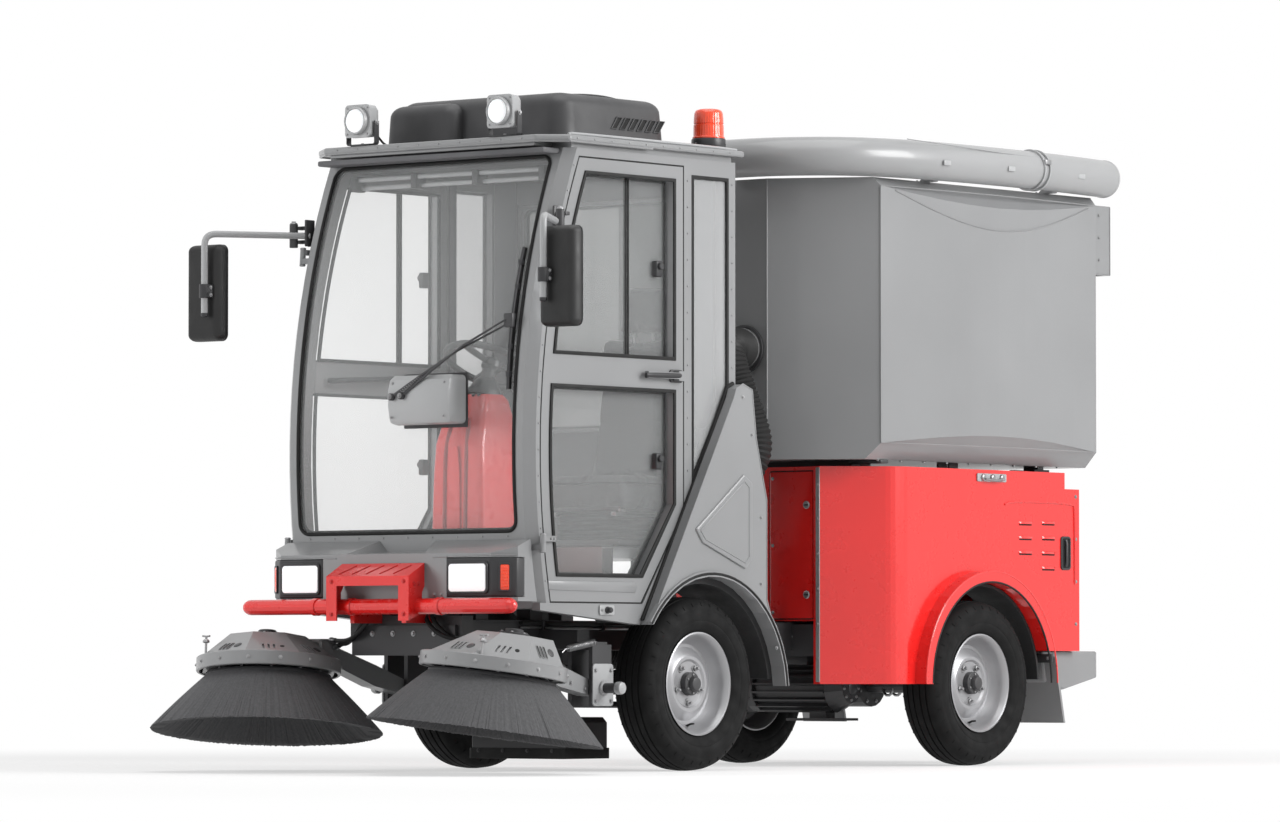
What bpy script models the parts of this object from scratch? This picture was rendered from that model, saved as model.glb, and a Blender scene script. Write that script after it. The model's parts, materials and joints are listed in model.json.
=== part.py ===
"""Compact street sweeper: a glazed cab over the front axle, two tilted side brushes, a tipping hopper.

Stations are metres from the ground under the middle of the front axle: +X is the vehicle's left,
+Y runs to the rear and +Z is up. The datum empty then moves all of it, so that the model's origin
is on the ground at the centre of its overall box. Right-hand pieces mirror the left-hand ones.
"""

from math import cos, pi, radians, sin, sqrt

import bmesh
import bpy
from mathutils import Matrix, Vector

# ---- driving dimensions -------------------------------------------------------------------
GAP = 0.0003  # between pieces that seat on each other
CLEAR = 0.006  # between pieces that move past each other

WHEELBASE = 1.724
TYRE_RADIUS = 0.325
BEAD_RADIUS = 0.1785
RIM_WIDTH = 0.15
FRONT_WHEEL_X = 0.516
REAR_WHEEL_X = 0.56
KINGPIN_X = 0.41
SPINDLE_RADIUS = 0.022
WHEEL_FACETS = 24

RAIL_INNER = 0.17
RAIL_OUTER = 0.235
RAIL_LOW = 0.452
RAIL_HIGH = 0.56
RAIL_FRONT = -0.93
RAIL_REAR = 2.34

CAB_HALF_WIDTH = 0.60
CAB_WALL = 0.04
CAB_FLOOR = 0.60
CAB_PLATFORM = 0.79
CAB_RISER_Y = -0.43
CAB_REAR = 0.21
CAB_TOP = 2.285
FRONT_ARC_Y = 1.7715  # centre of the cab front's arc, seen from the side
FRONT_ARC_Z = 1.18
FRONT_ARC_RADIUS = 2.765
PILLAR_TAPER = 0.035
SILL_FRONT_Z = 0.593
SILL_REAR = (-0.36, 0.543)
ROOF_THICKNESS = 0.045
ROOF_OVERHANG = 0.015
SCREEN_HALF_WIDTH = 0.525
SCREEN_LOW = 0.88
SCREEN_HIGH = 2.255
MIRROR_ARM_Z = 2.005
FASCIA_FRONT = -1.105
NOSE_PLATE_Y = -1.0
GUARD_FRONT = -1.20
GUARD_SHEET = 0.006
GUARD_TUBE = (-1.14, 0.608)

DOOR_REAR_Y = -0.105
DOOR_KINK_Z = 0.972
DOOR_FOOT = (-0.356, 0.626)
DOOR_TOP = 2.250
DOOR_EDGE_OFFSET = 0.062
DOOR_FRAME = 0.05
MID_RAIL_LOW = 1.414
MID_RAIL_HIGH = 1.530
GLASS = 0.006

HOPPER_HALF_WIDTH = 0.65
HOPPER_BULGE = 0.04
HOPPER_CENTRE_X = 0.257
HOPPER_FRONT = 0.845
HOPPER_CORNER_Y = 1.055
HOPPER_REAR = 2.50
HOPPER_LOW = 1.19
HOPPER_TOP = 2.28
HOPPER_WALL = 0.025
HOPPER_LIP_REAR = 2.616
HOPPER_LIP_LOW = 1.97
TIP_AXIS = (2.345, 1.160)
LIFT_FOOT = (2.05, 0.70)
LIFT_EYE = (1.80, 1.14)
LIFT_EARS = (0.3935, 0.4465)  # ears and lugs either side of each cylinder's eyes
STAND_HIGH = 0.60  # top of the sills under the hopper's posts
DOOR_HINGE = (2.575, 1.94)  # of the hopper's rear door
DUCT_RADIUS = 0.075
MOTOR_AXIS = (1.36, 0.305)
MOTOR_RIBS = 18

COVER_HALF_WIDTH = 0.635
COVER_FRONT = 0.985
COVER_CORNER_Y = 1.165
COVER_REAR = 2.40
COVER_LOW = 0.322
COVER_HIGH = 1.165
TIP_ROOM = 0.635  # half width of the notch that the tipping hopper swings into
COVER_WALL = 0.02
FLARE_X = 0.69
ARCH_RADIUS = 0.395

BRUSH_CENTRE = (0.529, -1.160, 0.147)  # middle of the bristle tips' ring
BRUSH_RADIUS = 0.433
BRUSH_TOP_RADIUS = 0.232
BRUSH_HEIGHT = 0.205
HOOD_SIDES = 8
BRUSH_PITCH = radians(6.9)  # front edge raised
BRUSH_ROLL = radians(4.0)  # outer edge lowered
ARM_PIVOT = (0.45, -0.47, 0.31)

BRUSH_AXIS = Vector(
    (sin(BRUSH_ROLL), cos(BRUSH_ROLL) * sin(BRUSH_PITCH), cos(BRUSH_ROLL) * cos(BRUSH_PITCH))
)
FRONT_REACH = BRUSH_CENTRE[1] - BRUSH_RADIUS * sqrt(1 - BRUSH_AXIS.y**2)
DATUM_Y = -(FRONT_REACH + HOPPER_LIP_REAR) / 2

for old in list(bpy.data.objects):
    bpy.data.objects.remove(old, do_unlink=True)

parts = bpy.data.collections.new("street_sweeper")
cutters = bpy.data.collections.new("cutters")
for group in (parts, cutters):
    bpy.context.scene.collection.children.link(group)


# ---- materials ----------------------------------------------------------------------------
def material(name, colour, roughness, metallic=0.0, alpha=1.0):
    made = bpy.data.materials.new(name)
    made.use_nodes = True
    shader = made.node_tree.nodes["Principled BSDF"]
    shader.inputs["Base Color"].default_value = (*colour, 1)
    shader.inputs["Roughness"].default_value = roughness
    shader.inputs["Metallic"].default_value = metallic
    shader.inputs["Alpha"].default_value = alpha
    return made


GREY = material("grey_paint", (0.45, 0.45, 0.46), 0.4)
RED = material("red_paint", (0.80, 0.03, 0.03), 0.35)
STEEL = material("dark_steel", (0.06, 0.06, 0.065), 0.5, 0.4)
SILVER = material("silver_wheel", (0.55, 0.55, 0.56), 0.35, 0.8)
RUBBER = material("rubber", (0.02, 0.02, 0.02), 0.85)
PLASTIC = material("black_plastic", (0.025, 0.025, 0.027), 0.45)
CLEAR_GLASS = material("clear_glass", (0.85, 0.87, 0.87), 0.05, 0.0, 0.25)
AMBER = material("amber_lens", (0.95, 0.12, 0.02), 0.2)
BRISTLE = material("bristle", (0.10, 0.10, 0.105), 0.9)
FABRIC = material("seat_cover", (0.04, 0.04, 0.042), 0.8)
CHROME = material("cylinder_rod", (0.7, 0.7, 0.7), 0.15, 1.0)


# ---- modelling helpers --------------------------------------------------------------------
def add(name, mesh, finish):
    made = bpy.data.objects.new(name, mesh)
    mesh.materials.clear()
    mesh.materials.append(finish)
    parts.objects.link(made)
    return made


def mesh_from(name, build):
    """A mesh from a function that fills a bmesh, shaded smooth up to 35 degrees."""
    form = bmesh.new()
    build(form)
    mesh = bpy.data.meshes.new(name)
    form.to_mesh(mesh)
    form.free()
    mesh.shade_smooth()
    mesh.set_sharp_from_angle(angle=radians(35))
    return mesh


def box(name, low, high, finish, bevel=0.0, segments=2):
    low, high = Vector(low), Vector(high)
    size = high - low
    place = Matrix.Translation((low + high) / 2) @ Matrix.Diagonal((*size, 1))
    made = add(name, mesh_from(name, lambda form: bmesh.ops.create_cube(form, size=1, matrix=place)), finish)
    if bevel:
        round_edges(made, bevel, segments)
    return made


def hull_of(name, points, finish):
    """The closed convex body around the points."""

    def build(form):
        for point in points:
            form.verts.new(point)
        bmesh.ops.convex_hull(form, input=form.verts)
        bmesh.ops.dissolve_limit(form, angle_limit=0.01, verts=form.verts, edges=form.edges)
        bmesh.ops.recalc_face_normals(form, faces=form.faces)

    return add(name, mesh_from(name, build), finish)


def round_edges(piece, width, segments=2, angle=30):
    edge = piece.modifiers.new("rounded_edges", "BEVEL")
    edge.width = width
    edge.segments = segments
    edge.limit_method = "ANGLE"
    edge.angle_limit = radians(angle)


def cylinder(name, start, end, radius, finish, facets=16, end_radius=None):
    start, end = Vector(start), Vector(end)
    along = end - start
    place = Matrix.Translation((start + end) / 2) @ along.to_track_quat("Z", "Y").to_matrix().to_4x4()

    def build(form):
        bmesh.ops.create_cone(
            form, cap_ends=True, segments=facets, radius1=radius,
            radius2=radius if end_radius is None else end_radius, depth=along.length, matrix=place,
        )

    return add(name, mesh_from(name, build), finish)


def curve_mesh(name, curve, finish, place):
    """The curve's own mesh with its caps welded on, in a new object; the curve is dropped."""
    source = bpy.data.objects.new(name, curve)
    parts.objects.link(source)
    bpy.context.view_layer.update()
    mesh = bpy.data.meshes.new_from_object(source.evaluated_get(bpy.context.evaluated_depsgraph_get()))
    bpy.data.objects.remove(source)
    bpy.data.curves.remove(curve)
    form = bmesh.new()
    form.from_mesh(mesh)
    bmesh.ops.remove_doubles(form, verts=form.verts, dist=0.00001)
    bmesh.ops.transform(form, matrix=place, verts=form.verts)
    form.to_mesh(mesh)
    form.free()
    mesh.shade_smooth()
    mesh.set_sharp_from_angle(angle=radians(35))
    return add(name, mesh, finish)


SIDE_VIEW = Matrix(((0, 0, 1, 0), (1, 0, 0, 0), (0, 1, 0, 0), (0, 0, 0, 1)))  # outline in Y, Z
FRONT_VIEW = Matrix(((1, 0, 0, 0), (0, 0, -1, 0), (0, 1, 0, 0), (0, 0, 0, 1)))  # outline in X, Z
PLAN_VIEW = Matrix.Identity(4)  # outline in X, Y


def plate(name, outline, view, low, high, finish):
    """A flat outline extruded across the view from low to high along X, Y or Z."""
    curve = bpy.data.curves.new(name, "CURVE")
    curve.dimensions = "2D"
    curve.fill_mode = "BOTH"
    curve.extrude = (high - low) / 2
    spline = curve.splines.new("POLY")
    spline.points.add(len(outline) - 1)
    for point, (across, up) in zip(spline.points, outline):
        point.co = (across, up, 0, 1)
    spline.use_cyclic_u = True
    middle = (low + high) / 2
    if view is FRONT_VIEW:
        middle = -middle
    return curve_mesh(name, curve, finish, view @ Matrix.Translation((0, 0, middle)))


def tube(name, points, radius, finish, resolution=3):
    curve = bpy.data.curves.new(name, "CURVE")
    curve.dimensions = "3D"
    curve.bevel_depth = radius
    curve.bevel_resolution = resolution
    curve.use_fill_caps = True
    spline = curve.splines.new("POLY")
    spline.points.add(len(points) - 1)
    for point, place in zip(spline.points, points):
        point.co = (*place, 1)
    return curve_mesh(name, curve, finish, Matrix.Identity(4))


def bend(points, radius, steps=5):
    """The route through the points with each inner corner replaced by an arc of this radius."""
    route = [Vector(points[0])]
    for before, corner, after in zip(points, points[1:], points[2:]):
        corner = Vector(corner)
        back = (Vector(before) - corner).normalized()
        on = (Vector(after) - corner).normalized()
        half = back.angle(on) / 2
        reach = radius / (sin(half) / cos(half))
        centre = corner + (back + on).normalized() * radius / sin(half)
        first = corner + back * reach - centre
        last = corner + on * reach - centre
        sweep = first.angle(last)
        for step in range(steps + 1):
            share = step / steps
            turned_to = (first * sin((1 - share) * sweep) + last * sin(share * sweep)) / sin(sweep)
            route.append(centre + turned_to)
    route.append(Vector(points[-1]))
    return route


def turned(name, profile, place, finish, facets=WHEEL_FACETS):
    """A profile of (radius, height) points, outer side first from the top down, turned about Z."""
    mesh = bpy.data.meshes.new(name)
    count = len(profile)
    edges = [(i, (i + 1) % count) for i in range(count)]
    edges = [edge for edge in edges if profile[edge[0]][0] + profile[edge[1]][0] > 0]
    mesh.from_pydata([(radius, 0, height) for radius, height in profile], edges, [])
    made = add(name, mesh, finish)
    made.matrix_basis = place
    spin = made.modifiers.new("turned", "SCREW")
    spin.steps = facets
    spin.render_steps = facets
    spin.use_merge_vertices = True
    spin.merge_threshold = 0.00001
    spin.use_smooth_shade = True
    return made


def facing(point, direction):
    """A placement at the point whose own Z axis runs along the direction."""
    return Matrix.Translation(point) @ Vector(direction).to_track_quat("Z", "Y").to_matrix().to_4x4()


def boolean(piece, others, operation):
    for other in others:
        parts.objects.unlink(other)
        cutters.objects.link(other)
        other.hide_render = True
        other.display_type = "WIRE"
        step = piece.modifiers.new(operation.lower(), "BOOLEAN")
        step.operation = operation
        step.object = other
    return piece


def cut(piece, *others):
    return boolean(piece, others, "DIFFERENCE")


def join(piece, *others):
    return boolean(piece, others, "UNION")


def keep(piece, *others):
    return boolean(piece, others, "INTERSECT")


def arc(centre, radius, start, end, steps):
    """Points of an arc in its own plane, its angles in degrees."""
    angles = [radians(start + (end - start) * i / steps) for i in range(steps + 1)]
    return [(centre[0] + radius * cos(a), centre[1] + radius * sin(a)) for a in angles]


datum = bpy.data.objects.new("datum", None)
datum.location = (0, DATUM_Y, 0)
parts.objects.link(datum)


def joint(name, place, parent=None):
    """An empty on a joint's axis, carried by the datum or by another joint."""
    made = bpy.data.objects.new(name, None)
    made.empty_display_size = 0.1
    made.location = place
    parts.objects.link(made)
    parent = parent or datum
    made.parent = parent
    made.matrix_parent_inverse = reach_of(parent).inverted()
    return made


def reach_of(empty):
    """Where the empty stands in the vehicle's own stations."""
    return Matrix.Identity(4) if empty is datum else empty.matrix_basis


def carry(parent, *pieces):
    for piece in pieces:
        piece.parent = parent
        piece.matrix_parent_inverse = reach_of(parent).inverted()


def sides():
    """The names and signs of the left and right hand."""
    return (("left", 1), ("right", -1))


def front_y(z, inset=0.0):
    """The cab front's station at a height, less an inset towards the inside."""
    radius = FRONT_ARC_RADIUS - inset
    return FRONT_ARC_Y - sqrt(radius**2 - (z - FRONT_ARC_Z) ** 2)


def front_edge(low, high, inset=0.0, steps=12):
    """The cab front's curve as (y, z) points from low to high."""
    heights = [low + (high - low) * i / steps for i in range(steps + 1)]
    return [(front_y(z, inset), z) for z in heights]


# ---- chassis and running gear -------------------------------------------------------------
def chassis():
    frame = box("chassis_frame", (RAIL_INNER, RAIL_FRONT, RAIL_LOW), (RAIL_OUTER, RAIL_REAR, RAIL_HIGH),
                STEEL)
    extra = [box("rail_right", (-RAIL_OUTER, RAIL_FRONT, RAIL_LOW), (-RAIL_INNER, RAIL_REAR, RAIL_HIGH),
                 STEEL)]
    reach = RAIL_OUTER - 0.01
    for station in (-0.90, -0.47, 0.55, 1.02, 1.55, 2.28):
        low = (-reach, station - 0.03, RAIL_LOW + 0.015)
        extra.append(box("cross_member", low, (reach, station + 0.03, RAIL_HIGH - 0.015), STEEL))
    for sign in (-1, 1):
        inner, outer = sorted((sign * RAIL_INNER, sign * RAIL_OUTER))
        for station, seat in ((-0.83, CAB_FLOOR), (-0.52, CAB_FLOOR), (0.15, CAB_PLATFORM)):
            low = (inner, station - 0.035, RAIL_HIGH - 0.02)
            extra.append(box("cab_mount", low, (outer, station + 0.035, seat - GAP), STEEL))
        extra.append(arm_carrier(sign, reach))
        # spring hangers over the axle
        for station in (-0.33, 0.33):
            inner, outer = sorted((sign * 0.175, sign * 0.23))
            low = (inner, station - 0.03, 0.3965)
            extra.append(box("spring_hanger", low, (outer, station + 0.03, RAIL_LOW + 0.01), STEEL))
    extra.append(box("front_bumper_beam", (-0.27, -0.985, 0.50), (0.27, -0.92, 0.575), STEEL))
    extra.append(box("nose_plate", (-0.25, NOSE_PLATE_Y, 0.43), (0.25, -0.925, 0.54), STEEL))
    extra.append(box("oil_tank", (0.16, 1.03, 0.43), (0.345, 1.20, 0.553), GREY))
    join(frame, *extra)
    carry(datum, frame, *extra)


def arm_carrier(sign, reach):
    """The outrigger, bridge, two pivot plates and outer pin that hold one brush arm."""
    x, y, z = ARM_PIVOT
    inner, outer = sorted((sign * reach, sign * 0.42))
    carrier = box("arm_outrigger", (inner, y - 0.035, 0.455), (outer, y + 0.035, 0.525), STEEL)
    inner, outer = sorted((sign * 0.38, sign * (x + 0.055)))
    carrier_parts = [box("pivot_bridge", (inner, y - 0.035, 0.45), (outer, y + 0.035, 0.48), STEEL)]
    for plate_x in (x - 0.05, x + 0.05):
        low = (sign * plate_x - 0.009, y - 0.055, z - 0.068)
        carrier_parts.append(box("pivot_plate", low, (sign * plate_x + 0.009, y + 0.055, 0.47), STEEL))
    start, end = (sign * (x + 0.05), y, z), (sign * (x + 0.15), y, z)
    carrier_parts.append(cylinder("pivot_pin", start, end, 0.019, STEEL))
    join(carrier, *carrier_parts)
    carry(datum, *carrier_parts)
    return carrier


def hopper_stand():
    """Posts and beams on the rails that carry the hopper, its hinge and the feet of its cylinders."""
    seat = RAIL_HIGH + GAP
    stand = box("hopper_stand", (0.19, 1.14, seat), (0.23, 2.33, STAND_HIGH), STEEL)
    extra = [box("stand_sill_right", (-0.23, 1.14, seat), (-0.19, 2.33, STAND_HIGH), STEEL)]
    for side, sign in sides():
        inner, outer = sorted((sign * 0.19, sign * 0.23))
        extra.append(box("front_post", (inner, 1.14, seat), (outer, 1.18, 1.13), STEEL))
        extra.append(box("rear_post", (inner, 2.28, seat), (outer, 2.33, 1.13), STEEL))
        # lugs either side of the hopper's hinge barrel
        for x in (0.40, 0.50):
            low = (sign * x - 0.012, TIP_AXIS[0] - 0.08, 1.08)
            extra.append(box("tip_lug", low, (sign * x + 0.012, TIP_AXIS[0] + 0.022, TIP_AXIS[1] + 0.02),
                             STEEL))
        # ears of the lift cylinder's foot
        for x in LIFT_EARS:
            low = (sign * x - 0.004, LIFT_FOOT[0] - 0.03, 0.61)
            extra.append(box("foot_ear", low, (sign * x + 0.004, LIFT_FOOT[0] + 0.03, LIFT_FOOT[1] + 0.03),
                             STEEL))
    low, high = (-0.46, LIFT_FOOT[0] - 0.03, seat), (0.46, LIFT_FOOT[0] + 0.03, 0.625)
    extra.append(box("lift_beam", low, high, STEEL))
    extra.append(box("hopper_beam_front", (-0.45, 1.13, 1.10), (0.45, 1.19, HOPPER_LOW - GAP), STEEL))
    extra.append(box("hopper_beam_rear", (-0.52, 2.27, 1.07), (0.52, 2.335, 1.125), STEEL))
    join(stand, *extra)
    carry(datum, stand, *extra)


def axles():
    beam = box("front_axle", (-0.392, -0.025, 0.30), (0.392, 0.025, 0.35), STEEL)
    extra = []
    for side, sign in sides():
        extra.append(cylinder("kingpin_boss", (sign * KINGPIN_X, 0, 0.288), (sign * KINGPIN_X, 0, 0.362),
                              0.026, STEEL))
        inner, outer = sorted((sign * 0.18, sign * 0.225))
        extra.append(box("spring_pad", (inner, -0.05, 0.34), (outer, 0.05, 0.378), STEEL))
        # the leaf spring bows down to the axle between its two hangers
        top = [(y, 0.37 + 0.2 * y * y) for y in (-0.36, -0.27, -0.18, -0.09, 0, 0.09, 0.18, 0.27, 0.36)]
        under = [(y, z - 0.018) for y, z in reversed(top)]
        extra.append(plate("leaf_spring", top + under, SIDE_VIEW, inner, outer, STEEL))
    join(beam, *extra)
    carry(datum, beam, *extra)

    tube_axle = cylinder("rear_axle", (-0.44, WHEELBASE, TYRE_RADIUS), (0.44, WHEELBASE, TYRE_RADIUS), 0.04,
                         STEEL)
    extra = [cylinder("differential", (-0.10, WHEELBASE, TYRE_RADIUS), (0.10, WHEELBASE, TYRE_RADIUS), 0.095,
                      STEEL, 20)]
    for side, sign in sides():
        extra.append(cylinder("rear_flange", (sign * 0.43, WHEELBASE, TYRE_RADIUS),
                              (sign * 0.47, WHEELBASE, TYRE_RADIUS), 0.075, STEEL, 16))
        extra.append(cylinder("rear_spindle", (sign * 0.46, WHEELBASE, TYRE_RADIUS),
                              (sign * (REAR_WHEEL_X + 0.04), WHEELBASE, TYRE_RADIUS), SPINDLE_RADIUS, STEEL))
        inner, outer = sorted((sign * 0.18, sign * 0.225))
        extra.append(box("rear_pad", (inner, WHEELBASE - 0.045, 0.34), (outer, WHEELBASE + 0.045,
                                                                        RAIL_LOW - GAP), STEEL))
    join(tube_axle, *extra)
    carry(datum, tube_axle, *extra)


def steering():
    for side, sign in sides():
        pivot = joint("steer_" + side, (sign * KINGPIN_X, 0, TYRE_RADIUS))
        x = sign * KINGPIN_X
        web_in, web_out = sorted((x + sign * 0.036, x + sign * 0.052))
        knuckle = box("knuckle_" + side, (web_in, -0.03, 0.262), (web_out, 0.03, 0.388), STEEL)
        inner, outer = sorted((x, x + sign * 0.045))
        extra = [
            cylinder("fork_top", (x, 0, 0.362 + GAP), (x, 0, 0.388), 0.026, STEEL),
            cylinder("fork_low", (x, 0, 0.262), (x, 0, 0.288 - GAP), 0.026, STEEL),
            box("fork_top_web", (inner, -0.022, 0.362 + GAP), (outer, 0.022, 0.388), STEEL),
            box("fork_low_web", (inner, -0.022, 0.262), (outer, 0.022, 0.288 - GAP), STEEL),
            cylinder("spindle", (x + sign * 0.04, 0, TYRE_RADIUS),
                     (sign * (FRONT_WHEEL_X + 0.04), 0, TYRE_RADIUS), SPINDLE_RADIUS, STEEL),
            box("steer_arm", (min(x - sign * 0.012, x + sign * 0.012), 0.015, 0.262),
                (max(x - sign * 0.012, x + sign * 0.012), 0.135, 0.28), STEEL),
        ]
        join(knuckle, *extra)
        carry(pivot, knuckle, *extra)
        if side == "left":
            rod_joint = joint("tie_rod_eye", (KINGPIN_X, 0.12, 0.25), pivot)
    rod = cylinder("tie_rod", (-KINGPIN_X, 0.12, 0.245), (KINGPIN_X, 0.12, 0.245), 0.0125, STEEL, 12)
    ends = [cylinder("rod_end", (x, 0.12, 0.23), (x, 0.12, 0.262 - GAP), 0.017, STEEL, 12)
            for x in (-KINGPIN_X, KINGPIN_X)]
    join(rod, *ends)
    carry(rod_joint, rod, *ends)


TYRE_HALF = [(0.325, 0.04), (0.314, 0.074), (0.285, 0.092), (0.235, 0.093), (0.1926, 0.0735), (0.1926,
                                                                                               0.0675),
             (BEAD_RADIUS + 0.0006, 0.0612)]


def wheels():
    """The rim's profile runs from its outboard flange; its hub takes the spindle."""
    tyre_profile = TYRE_HALF[::-1] + [(r, -z) for r, z in TYRE_HALF]
    half = RIM_WIDTH / 2
    rim_profile = [
        (0.186, half), (0.192, half), (0.192, half - 0.007), (BEAD_RADIUS, half - 0.013), (0.160, 0.0),
        (BEAD_RADIUS,
         0.013 - half), (0.192, 0.007 - half), (0.192, -half), (0.186, -half), (0.172, -half + 0.01),
        (0.150, -0.01), (0.105, 0.024), (0.045, 0.012), (0.045, -0.045),
        (SPINDLE_RADIUS + GAP, -0.045), (SPINDLE_RADIUS + GAP,
                                         0.045), (0.0, 0.045), (0.0, 0.058), (0.042, 0.056),
        (0.046, 0.022), (0.105, 0.034), (0.152, 0.012),
    ]
    for end, x, y in (("front", FRONT_WHEEL_X, 0.0), ("rear", REAR_WHEEL_X, WHEELBASE)):
        for side, sign in sides():
            parent = bpy.data.objects["steer_" + side] if end == "front" else None
            axle = joint("spin_" + end + "_" + side, (sign * x, y, TYRE_RADIUS), parent)
            place = facing((sign * x, y, TYRE_RADIUS), (-1, 0, 0))
            tyre = turned("tyre_" + end + "_" + side, tyre_profile, place, RUBBER)
            dish = [(radius, -sign * height) for radius, height in rim_profile][::-sign]
            rim = turned("rim_" + end + "_" + side, dish, place, SILVER)
            nuts = []
            for index in range(5):
                foot = Matrix.Rotation(2 * pi * index / 5, 4, "Z") @ Vector((0.075, 0, -sign * 0.022))
                head = foot + Vector((0, 0, -sign * 0.028))
                nuts.append(cylinder("wheel_nut", place @ foot, place @ head, 0.012, STEEL, 6))
            join(rim, *nuts)
            carry(axle, tyre, rim, *nuts)


def power():
    middle, height = MOTOR_AXIS
    motor = cylinder("drive_motor", (-0.16, middle, height), (0.22, middle, height), 0.078, STEEL, 18)
    extra = [cylinder("motor_bell", (0.21, middle, height), (0.275, middle, height), 0.094, STEEL, 18, 0.06),
             cylinder("motor_flange", (-0.19, middle, height), (-0.15, middle, height), 0.094, STEEL, 18)]
    for index in range(MOTOR_RIBS):
        turn = Matrix.Translation((0, middle, height)) @ Matrix.Rotation(2 * pi * index / MOTOR_RIBS, 4, "X")
        rib = box("motor_rib", (-0.155, -0.0035, 0.07), (0.205, 0.0035, 0.096), STEEL)
        rib.data.transform(turn)
        extra.append(rib)
    low = (-0.10, middle + 0.05, height - 0.05)
    extra.append(box("gearbox", low, (0.04, WHEELBASE - 0.095 - GAP, height + 0.05), STEEL))
    extra.append(box("skid_plate", (0.02, middle - 0.09, height - 0.128), (0.24, middle + 0.09,
                                                                           height - 0.118), STEEL))
    extra.append(box("skid_foot", (0.09, middle - 0.03, height - 0.12), (0.17, middle + 0.03, height - 0.07),
                     STEEL))
    join(motor, *extra)
    carry(datum, motor, *extra)
    low, high = (-0.36, 1.26, STAND_HIGH + GAP), (0.36, 1.98, 1.02)
    battery = box("battery_pack", low, high, PLASTIC, 0.01, 1)
    carry(datum, battery)


# ---- cab ----------------------------------------------------------------------------------
def door_outline(grow=0.0):
    """The door's edge as (y, z) points; grow opens it up for the frame it closes into."""
    rear = DOOR_REAR_Y + grow
    slant = (rear - DOOR_FOOT[0] - grow) / (DOOR_KINK_Z - DOOR_FOOT[1])
    foot_y, foot_z = DOOR_FOOT[0] + grow, DOOR_FOOT[1] - grow
    front = front_edge(foot_z, DOOR_TOP + grow, DOOR_EDGE_OFFSET - grow, 10)
    return front + [(rear, DOOR_TOP + grow), (rear, DOOR_KINK_Z - grow * 0.5), (foot_y + grow * slant,
                                                                                foot_z)]


def window_outline(low, high):
    """A door window's edge between two heights, inside the door's frame."""
    front = front_edge(low, high, DOOR_EDGE_OFFSET + DOOR_FRAME, 5)
    rear = DOOR_REAR_Y - DOOR_FRAME
    slope = (DOOR_REAR_Y - DOOR_FOOT[0]) / (DOOR_KINK_Z - DOOR_FOOT[1])
    kink = DOOR_KINK_Z + 0.02
    if low > kink:
        return front + [(rear, high), (rear, low)]
    return front + [(rear, high), (rear, kink), (rear - (kink - low) * slope, low)]


def chamfer_front_corners(shell):
    """Chamfers the two long edges where the cab's curved front meets its sides."""
    weights = shell.data.attributes.new("bevel_weight_edge", "FLOAT", "EDGE")
    points = shell.data.vertices
    for edge in shell.data.edges:
        ends = [points[index].co for index in edge.vertices]
        on_front = all(abs(end.y - front_y(end.z)) < 0.0005 for end in ends)
        if on_front and abs(ends[0].x - ends[1].x) < 0.0005:
            weights.data[edge.index].value = 1.0
    trim = shell.modifiers.new("pillar_taper", "BEVEL")
    trim.limit_method = "WEIGHT"
    trim.width = PILLAR_TAPER
    trim.segments = 1


def cab():
    outer = front_edge(CAB_FLOOR, CAB_TOP, 0.0, 16) + [
        (CAB_REAR, CAB_TOP), (CAB_REAR, CAB_PLATFORM), (CAB_RISER_Y, CAB_PLATFORM), (CAB_RISER_Y, CAB_FLOOR)]
    wall = CAB_WALL
    inner = front_edge(CAB_FLOOR + wall, CAB_TOP + 0.1, wall, 16) + [
        (CAB_REAR - wall, CAB_TOP + 0.1), (CAB_REAR - wall, CAB_PLATFORM + wall),
        (CAB_RISER_Y - wall, CAB_PLATFORM + wall), (CAB_RISER_Y - wall, CAB_FLOOR + wall)]
    half = CAB_HALF_WIDTH
    shell = plate("cab_body", outer, SIDE_VIEW, -half, half, GREY)
    chamfer_front_corners(shell)
    room = plate("cab_room", inner, SIDE_VIEW, -half + wall, half - wall, GREY)
    skirts, holes = [], []
    for side, sign in sides():
        inner_x, outer_x = sorted((sign * (half - wall), sign * half))
        skirt = [(front_y(0.62) + 0.002, SILL_FRONT_Z), SILL_REAR, (-0.199, CAB_PLATFORM + 0.01),
                 (CAB_RISER_Y - 0.02, CAB_PLATFORM + 0.01), (CAB_RISER_Y - 0.02,
                                                             0.62), (front_y(0.62) + 0.002, 0.62)]
        skirts.append(plate("sill_" + side, skirt, SIDE_VIEW, inner_x, outer_x, GREY))
        low_x, high_x = sorted((sign * (half - wall - 0.05), sign * (half + 0.05)))
        holes.append(plate("door_hole", door_outline(CLEAR), SIDE_VIEW, low_x, high_x, GREY))
        quarter = [(-0.05, 1.08), (-0.05, 2.22), (0.165, 2.22), (0.165, 1.42)]
        holes.append(plate("quarter_hole", quarter, SIDE_VIEW, low_x, high_x, GREY))
    screen = box("screen_hole", (-SCREEN_HALF_WIDTH, -1.3, SCREEN_LOW), (SCREEN_HALF_WIDTH, -0.6,
                                                                         SCREEN_HIGH), GREY)
    round_edges(screen, 0.04, 3)
    back = box("rear_hole", (-0.42, 0.1, 1.30), (0.42, 0.3, 2.15), GREY, 0.03, 2)
    cut(shell, room)
    join(shell, *skirts)
    cut(shell, *holes, screen, back)
    carry(datum, shell, room, *skirts, *holes, screen, back)
    return shell


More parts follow.
